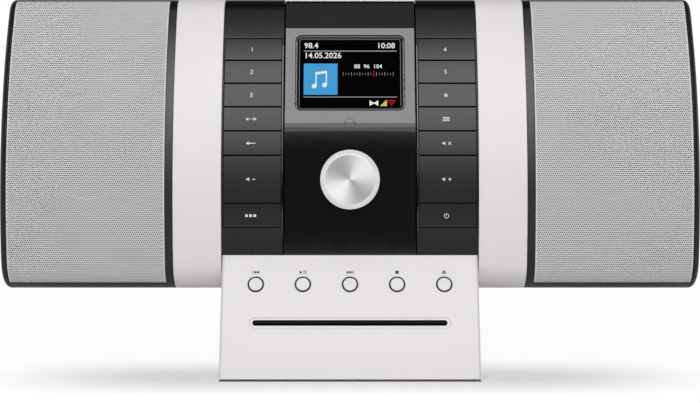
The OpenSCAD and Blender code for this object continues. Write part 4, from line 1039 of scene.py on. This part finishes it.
# %% Shapes turned round an axis
def turned(name, profile, centre, steps, node, material):
    """A profile of (radius, depth behind the front) points spun round the Y axis through the centre."""
    profile = np.array(profile)
    turn = np.linspace(0, 2 * np.pi, steps, endpoint=False)
    r, d = profile[1:-1, 0, None], profile[1:-1, 1, None]
    rings = np.stack(np.broadcast_arrays(centre[0] + r * np.cos(turn), centre[1] + d,
                                         centre[2] + r * np.sin(turn)), -1)
    tips = np.array([[centre[0], centre[1] + profile[k, 1], centre[2]] for k in (0, -1)])
    i = np.arange(len(r) * steps).reshape(len(r), steps)
    first, last = i.size, i.size + 1
    cap = np.stack([i[0], np.roll(i[0], -1), np.full(steps, first)], -1)
    end = np.stack([np.roll(i[-1], -1), i[-1], np.full(steps, last)], -1)
    return piece_from(name, np.concatenate([rings.reshape(-1, 3), tips]), [ring_faces(i, True), cap, end],
                      node, material)


# %% The volume dial
DIAL_SLIM, RIM_R = 0.35, 15.5
low, high = box_mm("volume_knob")
knob_r, knob_depth = (high[0] - low[0]) / 2 - DIAL_SLIM, high[1] - low[1]
dial_profile = [(0, 0.42), (4, 0.36), (9, 0.22), (13, 0.08), (15.3, 0.01), (15.6, 0), (15.8, 0.05),
                (16.0, 0.16), (18.2, 1.9), (18.45, 2.15), (knob_r - 0.02, 2.4), (knob_r, 2.8),
                (knob_r, knob_depth - 0.5), (knob_r - 0.4, knob_depth), (0, knob_depth)]
dial = turned("volume_dial", dial_profile, ((low[0] + high[0]) / 2, low[1], (low[2] + high[2]) / 2), 128,
              "volume_knob", knob_metal)
even_shading(dial)
# The faces of the chamfer get the finish with the painted highlight.
dial.data.materials.append(knob_rim_painted_highlight)
middles = np.array([face.center for face in dial.data.polygons]) / MM - (low + high) / 2
on_rim = np.hypot(middles[:, 0], middles[:, 2]) > RIM_R
dial.data.polygons.foreach_set("material_index", on_rim.astype(np.int32))
print("dial radius", round(knob_r, 2), "depth", round(knob_depth, 2))

# %% [markdown]
# Each loudspeaker cone is turned round the driver axis: a dust cap, the paper cone, a
# half roll at its rim and the voice coil behind. The roll, with radius r and t from 0
# to 180 degrees, runs as (R + r cos t, -r sin t). Its rim keeps clear of the basket
# at the full stroke.

# %% Loudspeaker cones
ROLL_R, ROLL_DEPTH, RIM_CLEAR, COIL_R, COIL_WALL, COIL_LONG = 1.9, 0.9, 0.35, 12.5, 0.4, 6.0
CAP_RADIUS, CAP_RISE, CAP_DEPTH = 11.5, 1.6, 9.6
for side in ("left", "right"):
    low, high = box_mm("driver_cone_" + side)
    seat, rim = low[1] + 1, (high[0] - low[0]) / 2 - RIM_CLEAR
    deep = high[1] - seat - COIL_LONG
    roll = [(rim - ROLL_R - ROLL_R * math.cos(t), ROLL_DEPTH - ROLL_R * math.sin(t))
            for t in np.linspace(0.0, math.pi, 15)]
    cap = [(r, deep - CAP_DEPTH - CAP_RISE * (1 - (r / CAP_RADIUS) ** 2))
           for r in np.linspace(0, CAP_RADIUS, 9)]
    profile = cap + [(COIL_R - COIL_WALL, deep - 8)] + roll + [
        (rim, 1.3), (rim - 2 * ROLL_R - 1, 1.4), (COIL_R + COIL_WALL, deep - 6),
        (COIL_R + COIL_WALL, deep + COIL_LONG), (COIL_R - COIL_WALL, deep + COIL_LONG),
        (COIL_R - 1.2, deep - 7), (0, deep - 8.8)]
    cone = turned("paper_cone_" + side, profile, ((low[0] + high[0]) / 2, seat, (low[2] + high[2]) / 2), 96,
                  "driver_cone_" + side, paper_cone)
    even_shading(cone)
    print(cone.name, "radius", round(rim, 2), "basket depth", round(deep, 2))

# %% Finishes for the solids that stay
staying = (
    (["driver_frame_left", "driver_frame_right", "display_module", "disc_chassis", "encoder_shaft"],
     plated_steel),
    (["key_board_left", "key_board_right", "main_board", "disc_key_board"], solder_mask),
    (["encoder_plunger", "encoder_body", "disc_turntable", "laser_sled"], nylon),
    (["heat_sink"], aluminium), (["disc_key_rings"], ring_black), (["slot_felt"], felt_black),
    (["loading_roller"], rubber), (["housing_screws"], black_steel))
for names, material in staying:
    for name in names:
        mesh = frame["nodes"][name].data
        mesh.materials.clear()
        mesh.materials.append(material)
print(sum(len(names) for names, _ in staying), "solids keep their own shape")
